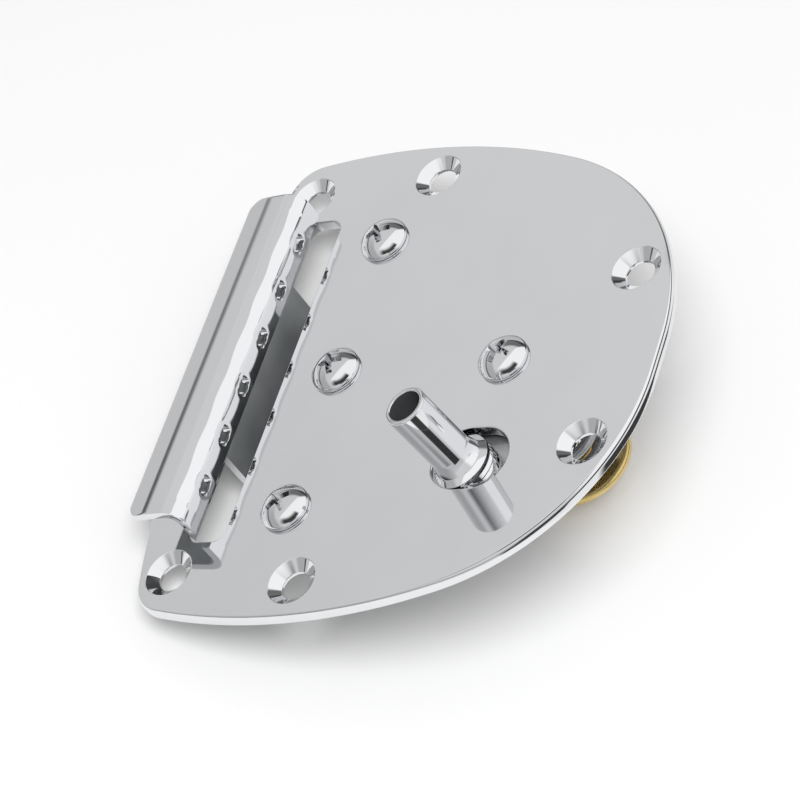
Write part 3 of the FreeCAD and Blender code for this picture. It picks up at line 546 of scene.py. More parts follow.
def plate_outline():
    """The plate's eight tangent arcs: front, shoulders, sides, rear corners and rear edge."""
    front = Vector((PLATE_FRONT_X - PLATE_FRONT_RADIUS, 0))
    rear = Vector((PLATE_REAR_X + PLATE_REAR_RADIUS, 0))
    side = Vector((PLATE_WIDEST_X, PLATE_HALF_WIDTH - PLATE_SIDE_RADIUS))
    small = 0
    large = (PLATE_FRONT_RADIUS + PLATE_SIDE_RADIUS - (side - front).length) / 2
    # Halves the range of the shoulder's radius until its centre is where it should be
    halvings = 60
    for _ in range(halvings):
        radius = (small + large) / 2
        shoulder = meeting_point(front, PLATE_FRONT_RADIUS - radius, side, PLATE_SIDE_RADIUS - radius,
                                 Vector((1, 1)))
        if shoulder.y > PLATE_SHOULDER_CENTRE:
            small = radius
        else:
            large = radius
    corner = meeting_point(rear, PLATE_REAR_RADIUS - PLATE_CORNER_RADIUS, side,
                           PLATE_SIDE_RADIUS - PLATE_CORNER_RADIUS, Vector((-1, 1)))
    turns = [bearing(front, shoulder), bearing(side, shoulder), bearing(side, corner), bearing(rear, corner)]
    half = [
        (shoulder, radius, turns[0], turns[1]),
        (side, PLATE_SIDE_RADIUS, turns[1], turns[2]),
        (corner, PLATE_CORNER_RADIUS, turns[2], turns[3]),
    ]
    arcs = [(front, PLATE_FRONT_RADIUS, -turns[0], turns[0]), *half]
    arcs.append((rear, PLATE_REAR_RADIUS, turns[3], 2 * math.pi - turns[3]))
    for centre, arc_radius, start, end in reversed(half):
        arcs.append((Vector((centre.x, -centre.y)), arc_radius, -end, -start))
    return [point for arc in arcs for point in arc_points(*arc, OUTLINE_SPACING)]


def obround_hole(x, y, radius, half_shift):
    """A hole's edge, drawn out along X, with directions into the hole."""
    front = arc_points(Vector((x + half_shift, y)), radius, -math.pi / 2, math.pi / 2, HOLE_SPACING)
    rear = arc_points(Vector((x - half_shift, y)), radius, math.pi / 2, math.pi * 3 / 2, HOLE_SPACING)
    return [(point, -way) for point, way in front + rear]


def slot_hole():
    """The slot's edge with its round corners, with directions into the slot."""
    front = SLOT_FRONT_X - SLOT_CORNER_RADIUS
    rear = SLOT_REAR_X + SLOT_CORNER_RADIUS
    far = SLOT_HALF_LENGTH - SLOT_CORNER_RADIUS
    edge = []
    for quarter, centre in enumerate([(front, far), (rear, far), (rear, -far), (front, -far)]):
        start = quarter * math.pi / 2
        edge += arc_points(Vector(centre), SLOT_CORNER_RADIUS, start, start + math.pi / 2, HOLE_SPACING)
    return [(point, -way) for point, way in edge]


def round_edge(setback, drop, steps=9):
    """Steps of (setback, height) down an edge of the plate that is rounded at its top and foot."""
    angles = [math.pi / 2 * step / steps for step in range(steps + 1)]
    brow = [(setback * (1 - math.sin(angle)), PLATE_TOP - drop * (1 - math.cos(angle))) for angle in angles]
    foot = [(PLATE_FOOT_ROUND * (1 - math.cos(angle)), PLATE_FOOT_ROUND * (1 - math.sin(angle)))
            for angle in angles]
    return brow + foot


def sink_edge():
    """Steps of (setback, height) down a countersunk hole with softened rims."""
    width = SINK_RADIUS - BODY_SCREW_RADIUS
    foot = PLATE_TOP - SINK_DEPTH
    soft = SINK_RIM_ROUND
    rim = [(width + soft * out, PLATE_TOP - soft * down) for out, down in SINK_RIM_SHARES]
    neck = [(soft * out, foot - soft * down) for out, down in SINK_FOOT_SHARES]
    return rim + neck + [(0, PLATE_FOOT_ROUND), (PLATE_FOOT_ROUND, 0)]


def filled_cap(points, rings):
    """Triangles between an outer ring of points and the rings of holes in it."""
    order = [index for ring in rings for index in ring]
    flat = [Vector(points[index][:2]) for index in order]
    bounds = []
    start = 0
    for ring in rings:
        bounds.append(list(range(start, start + len(ring))))
        start += len(ring)
    bounds = bounds[:1] + [hole[::-1] for hole in bounds[1:]]
    filled = delaunay_2d_cdt(flat, [], bounds, INSIDE_WITH_HOLES, SAME_POINT)
    triangles, sources = filled[2], filled[3]
    return [[order[sources[corner][0]] for corner in triangle] for triangle in triangles]


def plate_mesh(name, loops):
    """A flat plate from its outline and holes, each an edge with its own steps down from top to foot."""
    points = []
    faces = []
    top_rings = []
    foot_rings = []
    for edge, steps in loops:
        count = len(edge)
        first = len(points)
        for setback, height in steps:
            points += [(*(place - way * setback), height) for place, way in edge]
        for face in ring_faces(len(steps), count):
            faces.append([first + corner for corner in (face[0], *face[:0:-1])])
        top_rings.append(range(first, first + count))
        foot_rings.append(range(len(points) - count, len(points)))
    faces += filled_cap(points, top_rings)
    polished_count = len(faces)
    faces += [triangle[::-1] for triangle in filled_cap(points, foot_rings)]
    # The underside gets the dull grey that paints the shade under the plate
    dull = [face >= polished_count for face in range(len(faces))]
    return two_finishes(to_mesh(name, points, faces), dull)


def make_base_plate():
    """The plate with its slot, its arm hole, six countersunk holes and the holes of four screws."""
    rim = round_edge(HOLE_RIM_ROUND, HOLE_RIM_ROUND)
    loops = [(plate_outline(), round_edge(PLATE_EDGE_SETBACK, PLATE_EDGE_DROP)),
             (slot_hole(), rim),
             (obround_hole(ARM_HOLE_X, ARM_HOLE_Y, ARM_HOLE_RADIUS, ARM_HOLE_HALF_SHIFT), rim)]
    for x, y in BODY_SCREW_HOLES:
        for side in (y, -y):
            loops.append((obround_hole(x, side, BODY_SCREW_RADIUS, 0), sink_edge()))
    screw_places = [(PIVOT_SCREW_X, place * PIVOT_SCREW_SPACING) for place in (-1, 0, 1)]
    for x, y in screw_places + [(TENSION_SCREW_X, 0)]:
        loops.append((obround_hole(x, y, SCREW_HOLE_RADIUS, 0), rim))
    add_piece("plate", plate_mesh("plate", loops), "base", "polished_chrome", ["base_plate"])


# Screws with domed heads

def recess_cutter(top):
    """A tapered cross, from just over the head's top down to the recess's floor."""
    wide, reach = RECESS_HALF_WIDTH, RECESS_REACH
    quarter = [(wide, wide), (wide, reach), (-wide, reach)]
    outline = []
    for turn in range(4):
        swing = Matrix.Rotation(turn * math.pi / 2, 2)
        outline += [swing @ Vector(corner) for corner in quarter]
    count = len(outline)
    lift = RECESS_DEPTH * RECESS_LIFT_SHARE
    spread = 1 + (1 - RECESS_FOOT_SHARE) * lift / RECESS_DEPTH
    points = [(*(corner * RECESS_FOOT_SHARE), top - RECESS_DEPTH) for corner in outline]
    points += [(*(corner * spread), top + lift) for corner in outline]
    return to_mesh("recess", points, end_faces(2, count) + ring_faces(2, count))


def domed_head():
    """A screw head with a dome, a short straight rim and a cross recess, standing on z = 0."""
    ball = (HEAD_RADIUS ** 2 + HEAD_DOME_RISE ** 2) / (2 * HEAD_DOME_RISE)
    top = HEAD_RIM_HEIGHT + HEAD_DOME_RISE
    edge_angle = math.asin(HEAD_RADIUS / ball)
    soft = HEAD_EDGE_ROUND
    steps = 28
    profile = [(SCREW_RADIUS * HEAD_NECK_SHARE, 0)]
    profile += [(HEAD_RADIUS - soft * inward, soft * up) for inward, up in HEAD_FOOT_SHARES]
    profile += [(HEAD_RADIUS - soft * inward, HEAD_RIM_HEIGHT - soft * down)
                for inward, down in HEAD_BROW_SHARES]
    for step in range(1, steps):
        angle = edge_angle * (1 - step / steps)
        profile.append((ball * math.sin(angle), top - ball + ball * math.cos(angle)))
    profile.append((HEAD_TOP_RADIUS, top))
    blank = facing_out(lathe("head", profile, closed=False), fill=True)
    cutter = add_object("recess", recess_cutter(top))

    def cut_recess(head):
        cut = head.modifiers.new("recess", "BOOLEAN")
        cut.object = cutter
        cut.solver = "EXACT"
    head = modified(blank, cut_recess)
    bpy.data.objects.remove(cutter)
    return head


def threaded_shank(depth, plain_length, top):
    """A shank with a helical thread below its plain length and a chamfered tip."""
    around = 48
    per_pitch = 10
    rows = round((depth + top) / THREAD_PITCH * per_pitch)
    points = []
    for row in range(rows + 1):
        height = -depth + (depth + top) * row / rows
        from_tip = height + depth
        for step in range(around):
            turn = step / around
            phase = (height / THREAD_PITCH - turn) % 1
            groove = THREAD_DEPTH * abs(2 * phase - 1)
            fade = min(1, max(0, (top - height - plain_length) / THREAD_PITCH))
            chamfer = max(0, 2 * THREAD_DEPTH - from_tip)
            radius = SCREW_RADIUS - max(groove * fade, chamfer)
            angle = 2 * math.pi * turn
            points.append((radius * math.cos(angle), radius * math.sin(angle), height))
    return to_mesh("shank", points, ring_faces(rows + 1, around) + end_faces(rows + 1, around))


def make_screw(name, node, body, x, y, depth, plain_length, head, turn):
    """A screw from a copy of the head, turned by some degrees, and a threaded shank."""
    turned = place_mesh(head.copy(), 0, 0, PLATE_TOP)
    turned.transform(Matrix.Rotation(math.radians(turn), 4, "Z"))
    whole = joined(name, turned, threaded_shank(depth, plain_length, PLATE_TOP + HEAD_RIM_HEIGHT / 2))
    add_piece(name, place_mesh(whole, x, y), body, "screw_chrome", [node], sharp=32)


def make_screws():
    """Three screws along the pivot and one that carries the spring."""
    head = domed_head()
    for side, place in (("far", 1), ("centre", 0), ("near", -1)):
        make_screw(f"pivot_screw_{side}_threaded", f"pivot_screw_{side}", "base", PIVOT_SCREW_X,
                   place * PIVOT_SCREW_SPACING, PIVOT_SCREW_DEPTH, PLATE_TOP, head, PIVOT_SCREW_TURNS[side])
    make_screw("tension_screw_threaded", "tension_screw", "screw", TENSION_SCREW_X, 0, TENSION_SCREW_DEPTH,
               TENSION_PLAIN_LENGTH, head, TENSION_SCREW_TURN)


# String anchor: one bent sheet with dished string holes

def walk(start, heading, runs, spacing):
    """Points and left-hand directions along straight runs and (radius, turn) bends."""
    points = []
    place = Vector(start)

    def stand():
        points.append((place.copy(), Vector((-math.sin(heading), math.cos(heading)))))
    stand()
    for run in runs:
        if isinstance(run, tuple):
            radius, turn = run
            count = max(3, round(abs(turn) * max(radius, FINE_BEND_RADIUS) / spacing))
            for _ in range(count):
                heading += turn / count / 2
                chord = 2 * radius * math.sin(abs(turn) / count / 2)
                place += Vector((math.cos(heading), math.sin(heading))) * chord
                heading += turn / count / 2
                stand()
        else:
            count = max(1, round(run / spacing))
            for _ in range(count):
                place += Vector((math.cos(heading), math.sin(heading))) * (run / count)
                stand()
    return points


def sheet_section():
    """The sheet's front and upper side from its rear lip down to its foot, as (place, outward) pairs."""
    corner_turn = math.pi / 2 + ROOF_SLOPE
    bend_reach = ROOF_BEND_RADIUS * math.tan(corner_turn / 2)
    up = walk((WALL_FRONT_X, STRING_HOLE_Z), math.pi / 2, [
        ROOF_TOP_Z - bend_reach - STRING_HOLE_Z, (ROOF_BEND_RADIUS, corner_turn), ROOF_FLAT,
        (LIP_BEND_RADIUS, LIP_SLOPE - ROOF_SLOPE), LIP_LENGTH], SHEET_SPACING)
    upper = [(place, -left) for place, left in reversed(up)]
    tangent = math.tan((math.pi / 2 + LEVER_TILT) / 2) * FOOT_BEND_RADIUS
    rise = LEVER_UNDERSIDE / math.cos(LEVER_TILT) + (WALL_FRONT_X - PIVOT_X) * math.tan(LEVER_TILT)
    bend_z = PIVOT_Z + rise
    to_foot = walk((WALL_FRONT_X, STRING_HOLE_Z), -math.pi / 2, [STRING_HOLE_Z - WALL_FOOT_Z], SHEET_SPACING)
    foot_x = PIVOT_X + FOOT_REACH * math.cos(LEVER_TILT) - LEVER_UNDERSIDE * math.sin(LEVER_TILT)
    foot_run = (foot_x - WALL_FRONT_X) / math.cos(LEVER_TILT) - tangent
    neck = walk((WALL_FRONT_X, WALL_FOOT_Z), -math.pi / 2, [
        WALL_FOOT_Z - bend_z - tangent, (FOOT_BEND_RADIUS, math.pi / 2 + LEVER_TILT), foot_run],
        NECK_SPACING)
    wall = to_foot[1:]
    section = upper + wall + neck[1:]
    return section, len(upper) - 1, len(upper) + len(wall) - 1


def anchor_columns():
    """Columns of the sheet as (place, string, share of the string's cell), without a string at the ends."""
    cell = 40
    columns = []
    for string in range(STRING_COUNT):
        middle = (string - (STRING_COUNT - 1) / 2) * STRING_PITCH
        columns += [(middle + STRING_PITCH * (step / cell - 0.5), string, 2 * step / cell - 1)
                    for step in range(cell)]
    edge = STRING_COUNT * STRING_PITCH / 2
    spare = ANCHOR_HALF_LENGTH - edge
    ends = 8
    first = [(-ANCHOR_HALF_LENGTH + spare * step / ends, None, 0) for step in range(ends)]
    last = [(edge + spare * step / ends, None, 0) for step in range(ends + 1)]
    return first + columns + last


def hole_grid(along, columns, foot_row):
    """The sheet's grid, drawn in round its holes: the places across and along, and the cells in a hole."""
    ys = np.array([column[0] for column in columns])[None, :]
    strings = np.array([-1 if column[1] is None else column[1] for column in columns])[None, :]
    steps = np.array([column[2] for column in columns])[None, :]
    cell_reach = STRING_PITCH / 2
    reach = min(cell_reach, along[foot_row] - HOLE_MARGIN, -along[0])
    shares = np.clip(along / reach, -2, 2)[:, None]
    square = np.maximum(np.abs(shares), np.abs(steps))
    inside = (strings >= 0) & (np.abs(shares) <= 1)
    outward = np.clip((square - HOLE_CELL_SHARE) / (1 - HOLE_CELL_SHARE), 0, 1)
    shrink = np.minimum(square / HOLE_CELL_SHARE, 1)
    to_ring = STRING_HOLE_RADIUS / (np.hypot(shares, steps) + TINY)
    to_edge = 1 / np.maximum(square, TINY)
    across = steps * ((1 - outward) * to_ring + outward * cell_reach * to_edge) * shrink
    down = shares * ((1 - outward) * to_ring + outward * reach * to_edge) * shrink
    middles = (strings - (STRING_COUNT - 1) / 2) * STRING_PITCH
    grid_y = np.where(inside, middles + across, ys)
    grid_s = np.where(inside, down, along[:, None])
    farthest = np.maximum.reduce([square[:-1, :-1], square[1:, :-1], square[:-1, 1:], square[1:, 1:]])
    in_hole = inside[:-1, :-1] & inside[1:, 1:] & (farthest <= HOLE_CELL_SHARE + SHARE_SLACK)
    return grid_y, grid_s, in_hole


def sheet_relief(grid_y, grid_s):
    """How far the sheet's front is pressed in: a dish round each string hole and a ripple over the bend."""
    middle = (STRING_COUNT - 1) / 2
    nearest = np.clip(np.round(grid_y / STRING_PITCH + middle), 0, STRING_COUNT - 1)
    from_hole = np.hypot(grid_y - (nearest - middle) * STRING_PITCH, grid_s)
    fall = np.clip((DISH_RADIUS - from_hole) / (DISH_RADIUS - STRING_HOLE_RADIUS), 0, 1)
    dish = DISH_DEPTH * fall * fall * (3 - 2 * fall)
    on_bend = np.clip(np.abs(grid_s + RIPPLE_RISE) / RIPPLE_REACH, 0, 1)
    beside = np.cos(2 * math.pi * (grid_y / STRING_PITCH + middle))
    by_holes = np.abs(grid_y) < STRING_COUNT * STRING_PITCH / 2
    return dish - RIPPLE * (1 + np.cos(math.pi * on_bend)) / 2 * beside * by_holes


def round_lip(grid_y, from_lip):
    """The grid's places across the sheet, drawn in at the lip's round corners."""
    edge = STRING_COUNT * STRING_PITCH / 2
    into_corner = np.clip(LIP_CORNER_RADIUS - from_lip, 0, LIP_CORNER_RADIUS)
    cut_back = LIP_CORNER_RADIUS - np.sqrt(LIP_CORNER_RADIUS ** 2 - into_corner ** 2)
    kept = 1 - cut_back / (ANCHOR_HALF_LENGTH - edge)
    past = np.abs(grid_y) - edge
    return np.where(past > 0, np.sign(grid_y) * (edge + past * kept), grid_y)


def make_string_anchor():
    """The sheet that holds the strings, from its section, its holes and its relief."""
    section, hole_row, foot_row = sheet_section()
    columns = anchor_columns()
    lengths = [0.0]
    for before, after in zip(section, section[1:]):
        lengths.append(lengths[-1] + (after[0] - before[0]).length)
    along = np.array(lengths) - lengths[hole_row]
    grid_y, grid_s, in_hole = hole_grid(along, columns, foot_row)
    places = np.array([place[:] for place, _ in section])
    ways = np.array([way[:] for _, way in section])
    xs, zs = (np.interp(grid_s, along, places[:, axis]) for axis in (0, 1))
    out_x, out_z = (np.interp(grid_s, along, ways[:, axis]) for axis in (0, 1))
    relief = sheet_relief(grid_y, grid_s)
    grid_y = round_lip(grid_y, grid_s - along[0])
    front = np.stack([xs - out_x * relief, grid_y, zs - out_z * relief], -1)
    back = np.stack([xs - out_x * SHEET, grid_y, zs - out_z * SHEET], -1)
    past_foot = np.arange(len(section) - 1)[:, None] >= foot_row
    ys = np.array([column[0] for column in columns])
    beside_neck = np.abs((ys[:-1] + ys[1:]) / 2)[None, :] > NECK_HALF_WIDTH
    filled = ~(in_hole | (past_foot & beside_neck))
    build_sheet("string_anchor_dished", front, back, filled, foot_row)


def build_sheet(name, front, back, filled, foot_row):
    """A solid sheet from the points of its two sides and the cells that it fills, polished where it shows and
    a dull grey that paints shade on its back and below the wall's foot.
    """
    rows, count = filled.shape
    points = np.concatenate([front.reshape(-1, 3), back.reshape(-1, 3)])
    offset = (rows + 1) * (count + 1)

    def at(row, column, side):
        return side * offset + row * (count + 1) + column
    faces = []
    dull = []
    for row in range(rows):
        for column in range(count):
            if not filled[row, column]:
                continue
            ring = [(row, column), (row + 1, column), (row + 1, column + 1), (row, column + 1)]
            faces.append(tuple(at(*corner, 0) for corner in ring))
            faces.append(tuple(at(*corner, 1) for corner in reversed(ring)))
            # The back and the neck below the foot get the dull grey that paints the shade behind and under
            # the sheet
            dull += [row >= foot_row, True]
            neighbours = [(row, column - 1), (row + 1, column), (row, column + 1), (row - 1, column)]
            for step, (next_row, next_column) in enumerate(neighbours):
                on_sheet = 0 <= next_row < rows and 0 <= next_column < count
                if on_sheet and filled[next_row, next_column]:
                    continue
                first, second = ring[step], ring[(step + 1) % 4]
                faces.append((at(*second, 0), at(*first, 0), at(*first, 1), at(*second, 1)))
                dull.append(False)
    mesh = facing_out(two_finishes(to_mesh(name, points.tolist(), faces), dull))

    def soften(sheet):
        bevel = sheet.modifiers.new("edges", "BEVEL")
        bevel.limit_method = "ANGLE"
        bevel.angle_limit = math.radians(SHEET_BEVEL_DEGREES)
        bevel.width = SHEET_EDGE_ROUND * MM
        bevel.segments = 3
    add_piece(name, modified(mesh, soften), "lever", "polished_chrome", ["string_anchor"])


# Arm collet and its grooved ring

def make_collet():
    """The socket that takes the arm: shank, flange, flare and tube, with a dull bore painted near-black as
    its shade.
    """
    corners = [
        (COLLET_BORE, COLLET_FOOT, COLLET_BORE_ROUND),
        (COLLET_SHANK_RADIUS, COLLET_FOOT, COLLET_SHANK_ROUND),
        (COLLET_SHANK_RADIUS, COLLET_FLANGE_FOOT, 0),
        (COLLET_FLANGE_RADIUS, COLLET_FLANGE_FOOT, COLLET_FLANGE_FOOT_ROUND),
        (COLLET_FLANGE_RADIUS, COLLET_FLANGE_TOP, COLLET_FLANGE_ROUND),
        (COLLET_STEP_RADIUS, COLLET_STEP_TOP, COLLET_STEP_ROUND),
        (COLLET_FLARE_RADIUS, COLLET_FLARE_FOOT, COLLET_FLARE_FOOT_ROUND),
        (COLLET_TUBE_RADIUS, COLLET_FLARE_TOP, COLLET_FLARE_ROUND),
        (COLLET_TUBE_RADIUS, COLLET_TOP, COLLET_TOP_ROUND),
        (COLLET_BORE, COLLET_TOP, COLLET_MOUTH_ROUND),
    ]
    mesh = lathe("collet", rounded_profile(corners))
    # Faces on the bore get the near-black finish that paints the shade inside it
    bore = (COLLET_BORE + BORE_SKIN) * MM
    dull = [all(math.hypot(*mesh.vertices[corner].co.xy) < bore for corner in face.vertices)
            for face in mesh.polygons]
    set_on_lever(two_finishes(mesh, dull, bore_painted_shade), COLLET_REACH, COLLET_SIDE)
    add_piece("arm_collet_turned", mesh, "lever", "polished_chrome", ["arm_collet"], sharp=30)


def make_collet_ring():
    """The ring under the collet's flange, with ribs round it."""
    pitch = (RING_TOP - RING_FOOT) / RING_RIBS
    corners = [(RING_BORE, RING_FOOT, 0)]
    for rib in range(RING_RIBS):
        low = RING_FOOT + rib * pitch
        corners += [(RING_GROOVE_RADIUS, low, 0), (RING_RADIUS, low, RING_EDGE_ROUND),
                    (RING_RADIUS, low + RING_RIB_SIDE, RING_EDGE_ROUND)]
    corners += [(RING_GROOVE_RADIUS, RING_TOP, 0), (RING_BORE, RING_TOP, 0)]
    mesh = set_on_lever(lathe("ring", rounded_profile(corners)), COLLET_REACH, COLLET_SIDE)
    add_piece("collet_ring_grooved", mesh, "lever", "polished_chrome", ["collet_ring"], sharp=30)


# Spring and its nut

def make_spring_nut():
    """The disc under the spring, with a hub inside the coil."""
    corners = [
        (NUT_BORE, NUT_FOOT_Z, NUT_BORE_ROUND),
        (NUT_RADIUS - NUT_CHAMFER_WIDTH, NUT_FOOT_Z, NUT_FACE_ROUND),
        (NUT_RADIUS, NUT_FOOT_Z + NUT_CHAMFER_HEIGHT, NUT_CHAMFER_ROUND),
        (NUT_RADIUS, NUT_TOP_Z, NUT_RIM_ROUND),
        (NUT_HUB_RADIUS, NUT_TOP_Z, NUT_HUB_FOOT_ROUND),
        (NUT_HUB_RADIUS, NUT_HUB_TOP_Z, NUT_HUB_ROUND),
        (NUT_BORE, NUT_HUB_TOP_Z, NUT_MOUTH_ROUND),
    ]
    mesh = place_mesh(lathe("nut", rounded_profile(corners)), TENSION_SCREW_X, 0)
    add_piece("spring_nut_turned", mesh, "nut", "brass", ["spring_nut"], sharp=30)


def spring_height(quarter, foot, top):
    """The wire's height after a number of quarter turns, with close turns at both ends."""
    ends = SPRING_END_QUARTERS
    middle_step = (top - foot - 2 * ends * SPRING_END_STEP) / (SPRING_QUARTERS - 2 * ends)
    first = min(quarter, ends)
    last = max(0, quarter - (SPRING_QUARTERS - ends))
    return foot + (first + last) * SPRING_END_STEP + (quarter - first - last) * middle_step


def spring_path(foot, top):
    """Points along the wire's middle, with its changes of pitch smoothed."""
    per_quarter = 14
    samples = SPRING_QUARTERS * per_quarter
    quarters = [SPRING_QUARTERS * step / samples for step in range(samples + 1)]
    heights = [spring_height(quarter, foot, top) for quarter in quarters]
    reach = 8
    window = 2 * reach + 1
    smooth = np.convolve(np.pad(heights, reach, mode="edge"), np.ones(window) / window, mode="valid")
    kept = reach + 1
    smooth[:kept] = heights[:kept]
    smooth[-kept:] = heights[-kept:]
    angles = [quarter * math.pi / 2 for quarter in quarters]
    return [Vector((SPRING_MEAN_RADIUS * math.cos(angle), SPRING_MEAN_RADIUS * math.sin(angle), height))
            for angle, height in zip(angles, smooth)]


def wire_mesh(path):
    """A round wire along a path round the Z axis, thinner at its two tips."""
    around = 20
    last = len(path) - 1
    points = []
    for step, place in enumerate(path):
        way = (path[min(step + 1, last)] - path[max(step - 1, 0)]).normalized()
        out = Vector((place.x, place.y, 0)).normalized()
        up = way.cross(out).normalized()
        out = up.cross(way)
        from_tip = min(step, last - step)
        share = SPRING_TIP_SHARES[from_tip] if from_tip < len(SPRING_TIP_SHARES) else 1
        for turn in range(around):
            angle = 2 * math.pi * turn / around
            points.append(place + (out * math.cos(angle) + up * math.sin(angle)) * SPRING_WIRE_RADIUS * share)
    return facing_out(to_mesh("spring", points, ring_faces(last + 1, around) + end_faces(last + 1, around)))


def make_tension_spring():
    """The coil, which the lever presses shorter in use; here it is wound at one length, from its foot up to
    the top of the CAD spring.
    """
    low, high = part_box("tension_spring")
    mesh = wire_mesh(spring_path(SPRING_FOOT_Z, high.z / MM - SPRING_WIRE_RADIUS))
    spring = add_piece("tension_spring_wound", place_mesh(mesh, TENSION_SCREW_X, 0), "nut", "spring_steel",
                       ["tension_spring"])
    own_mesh(spring)


# Stage: floor, studio light and camera

# The floor's lean, its reach in metres, its sides, its grey and what is added to that where it is seen
FLOOR_LEAN = math.radians(24.4)
FLOOR_REACH = 0.135
FLOOR_SIDES = 96
FLOOR_GREY = 0.8
FLOOR_LIFT = 0.1


def floor_material():
    """A pale surface, a little lifted where it is seen, and clear from below."""
    material = bpy.data.materials.new("floor")
    material.use_nodes = True
    nodes, links = material.node_tree.nodes, material.node_tree.links
    nodes.clear()
    pale = nodes.new("ShaderNodeBsdfDiffuse")
    pale.inputs["Color"].default_value = (FLOOR_GREY, FLOOR_GREY, FLOOR_GREY, 1)
    lift = nodes.new("ShaderNodeEmission")
    lift.inputs["Color"].default_value = (FLOOR_LIFT, FLOOR_LIFT, FLOOR_LIFT, 1)
    rays = nodes.new("ShaderNodeLightPath")
    shown = nodes.new("ShaderNodeMath")
    shown.operation = "MAXIMUM"
    links.new(rays.outputs["Is Camera Ray"], shown.inputs[0])
    links.new(rays.outputs["Is Glossy Ray"], shown.inputs[1])
    links.new(shown.outputs["Value"], lift.inputs["Strength"])
    whole = nodes.new("ShaderNodeAddShader")
    links.new(pale.outputs["BSDF"], whole.inputs[0])
    links.new(lift.outputs["Emission"], whole.inputs[1])
    clear = nodes.new("ShaderNodeBsdfTransparent")
    side = nodes.new("ShaderNodeNewGeometry")
    mixed = nodes.new("ShaderNodeMixShader")
    links.new(side.outputs["Backfacing"], mixed.inputs["Fac"])
    links.new(whole.outputs["Shader"], mixed.inputs[1])
    links.new(clear.outputs["BSDF"], mixed.inputs[2])
    output = nodes.new("ShaderNodeOutputMaterial")
    links.new(mixed.outputs["Shader"], output.inputs["Surface"])
    return material


def make_floor():
    """A pale floor, leaning as the part does when it rests on its rear edge and its screw's end."""
    mesh = bpy.data.meshes.new("floor")
    turns = [2 * math.pi * step / FLOOR_SIDES for step in range(FLOOR_SIDES)]
    rim = [(FLOOR_REACH * math.cos(turn), FLOOR_REACH * math.sin(turn), 0) for turn in turns]
    mesh.from_pydata(rim, [], [tuple(range(FLOOR_SIDES))])
    lean = Matrix.Rotation(FLOOR_LEAN, 4, "Y")
    up = lean @ Vector((0, 0, 1))
    foot = min(up.dot(piece.matrix_world @ vertex.co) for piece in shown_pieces() if piece.type == "MESH"
               for vertex in piece.data.vertices)
    mesh.transform(Matrix.Translation(up * foot) @ lean)
    mesh.materials.append(floor_material())
    floor = add_object("floor", mesh)
    floor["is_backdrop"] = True


# Studio: heights are parts of a way of length 1, round places are in degrees from the +X side towards +Y

STUDIO_LEAN = math.radians(28)
STUDIO_LEAN_SIDE = math.radians(-17)
# The grey wall that the plate mirrors: the way to its middle, and the cosine of how far it reaches
GREY_WALL_WAY = (-0.719, 0.412, 0.56)
GREY_WALL_REACH = 0.404
GREY_WALL_SOFTNESS = 0.015
SOFT_LAMP_LEVEL = 1.12
# How high the soft lamp hangs where the room under it is dark
LAMP_FOOT_Z = 0.72
LAMP_FULL_Z = 0.87
# How low the dark part of the room reaches under the lamp
DARK_FOOT_Z = 0.57
DARK_FULL_Z = 0.64
# How near the level a dark stand in front begins, and how far up and down it reaches
STAND_FOOT_Z = 0.4
STAND_TOP_Z = 0.61
# Brightness of the dark areas, and how soft the edges of the stand and the rim are
DARK_SIDE_LEVEL = 0.05
DARK_SOFTNESS = 0.02
# How far down it gets dark past the floor's rim on the right
RIM_DARK_Z = -0.62
# Brightness of the dark strip along the studio's horizon, and how high the strip reaches
HORIZON_LEVELS = [(-180, 0.06), (100, 0.06), (125, 0.32), (142, 0.3), (150, 0.1), (180, 0.06)]
HORIZON_HEIGHTS = [(-180, 0.065), (-60, 0.065), (-48, 0.22), (75, 0.22), (95, 0.065), (180, 0.065)]
HORIZON_SOFTNESS = 0.035
# How far under the horizon the room's light fades out
UNDER_SOFTNESS = 0.03
# Brightness low round the studio
LOW_ROUND = [(-180, 0.58), (-158, 0.5), (-116, 0.48), (-96, 0.62), (-84, 0.75), (-28, 0.75),
             (-14, 1.06), (60, 1.06), (65, 0.16), (104, 0.2), (116, 0.66), (130, 0.76), (146, 0.68),
             (165, 0.66), (180, 0.58)]
# Where the soft lamp on the right stands
LAMP_ROUND = [(-180, 0), (-28, 0), (-14, 1), (63, 1), (68, 0), (180, 0)]
# Where the dark part of the room is
DARK_ROUND = [(-180, 0), (-110, 0), (-88, 1), (-12, 1), (-4, 0), (180, 0)]
# Where the dark stand is
STAND_ROUND = [(-180, 0), (-66, 0), (-63, 1), (-32, 1), (-29, 0), (180, 0)]
# Brightness under the leaning horizon, past the floor
UNDER_ROUND = [(-180, 0.66), (-72, 0.7), (-26, 1.0), (60, 1.0), (90, 0.6), (180, 0.66)]
# Where it is dark past the floor's rim
RIM_ROUND = [(-180, 0), (-10, 0), (-5, 1), (84, 1), (92, 0), (180, 0)]
# Brightness overhead, and the heights between which it takes over
OVERHEAD_LEVEL = 0.74
OVERHEAD_FOOT = 0.40
OVERHEAD_FULL = 0.56
# How much of the studio's light fills the shadows on dull surfaces, beside the key lamp
FILL_SHARE = 0.61
# The key lamp at the front right: its place, what it is aimed at and its width in metres, and its power
KEY_PLACE = (0.446, -0.272, 0.683)
KEY_AIM = (0, 0, 0)
KEY_SIZE = 0.42
KEY_WATTS = 5.8


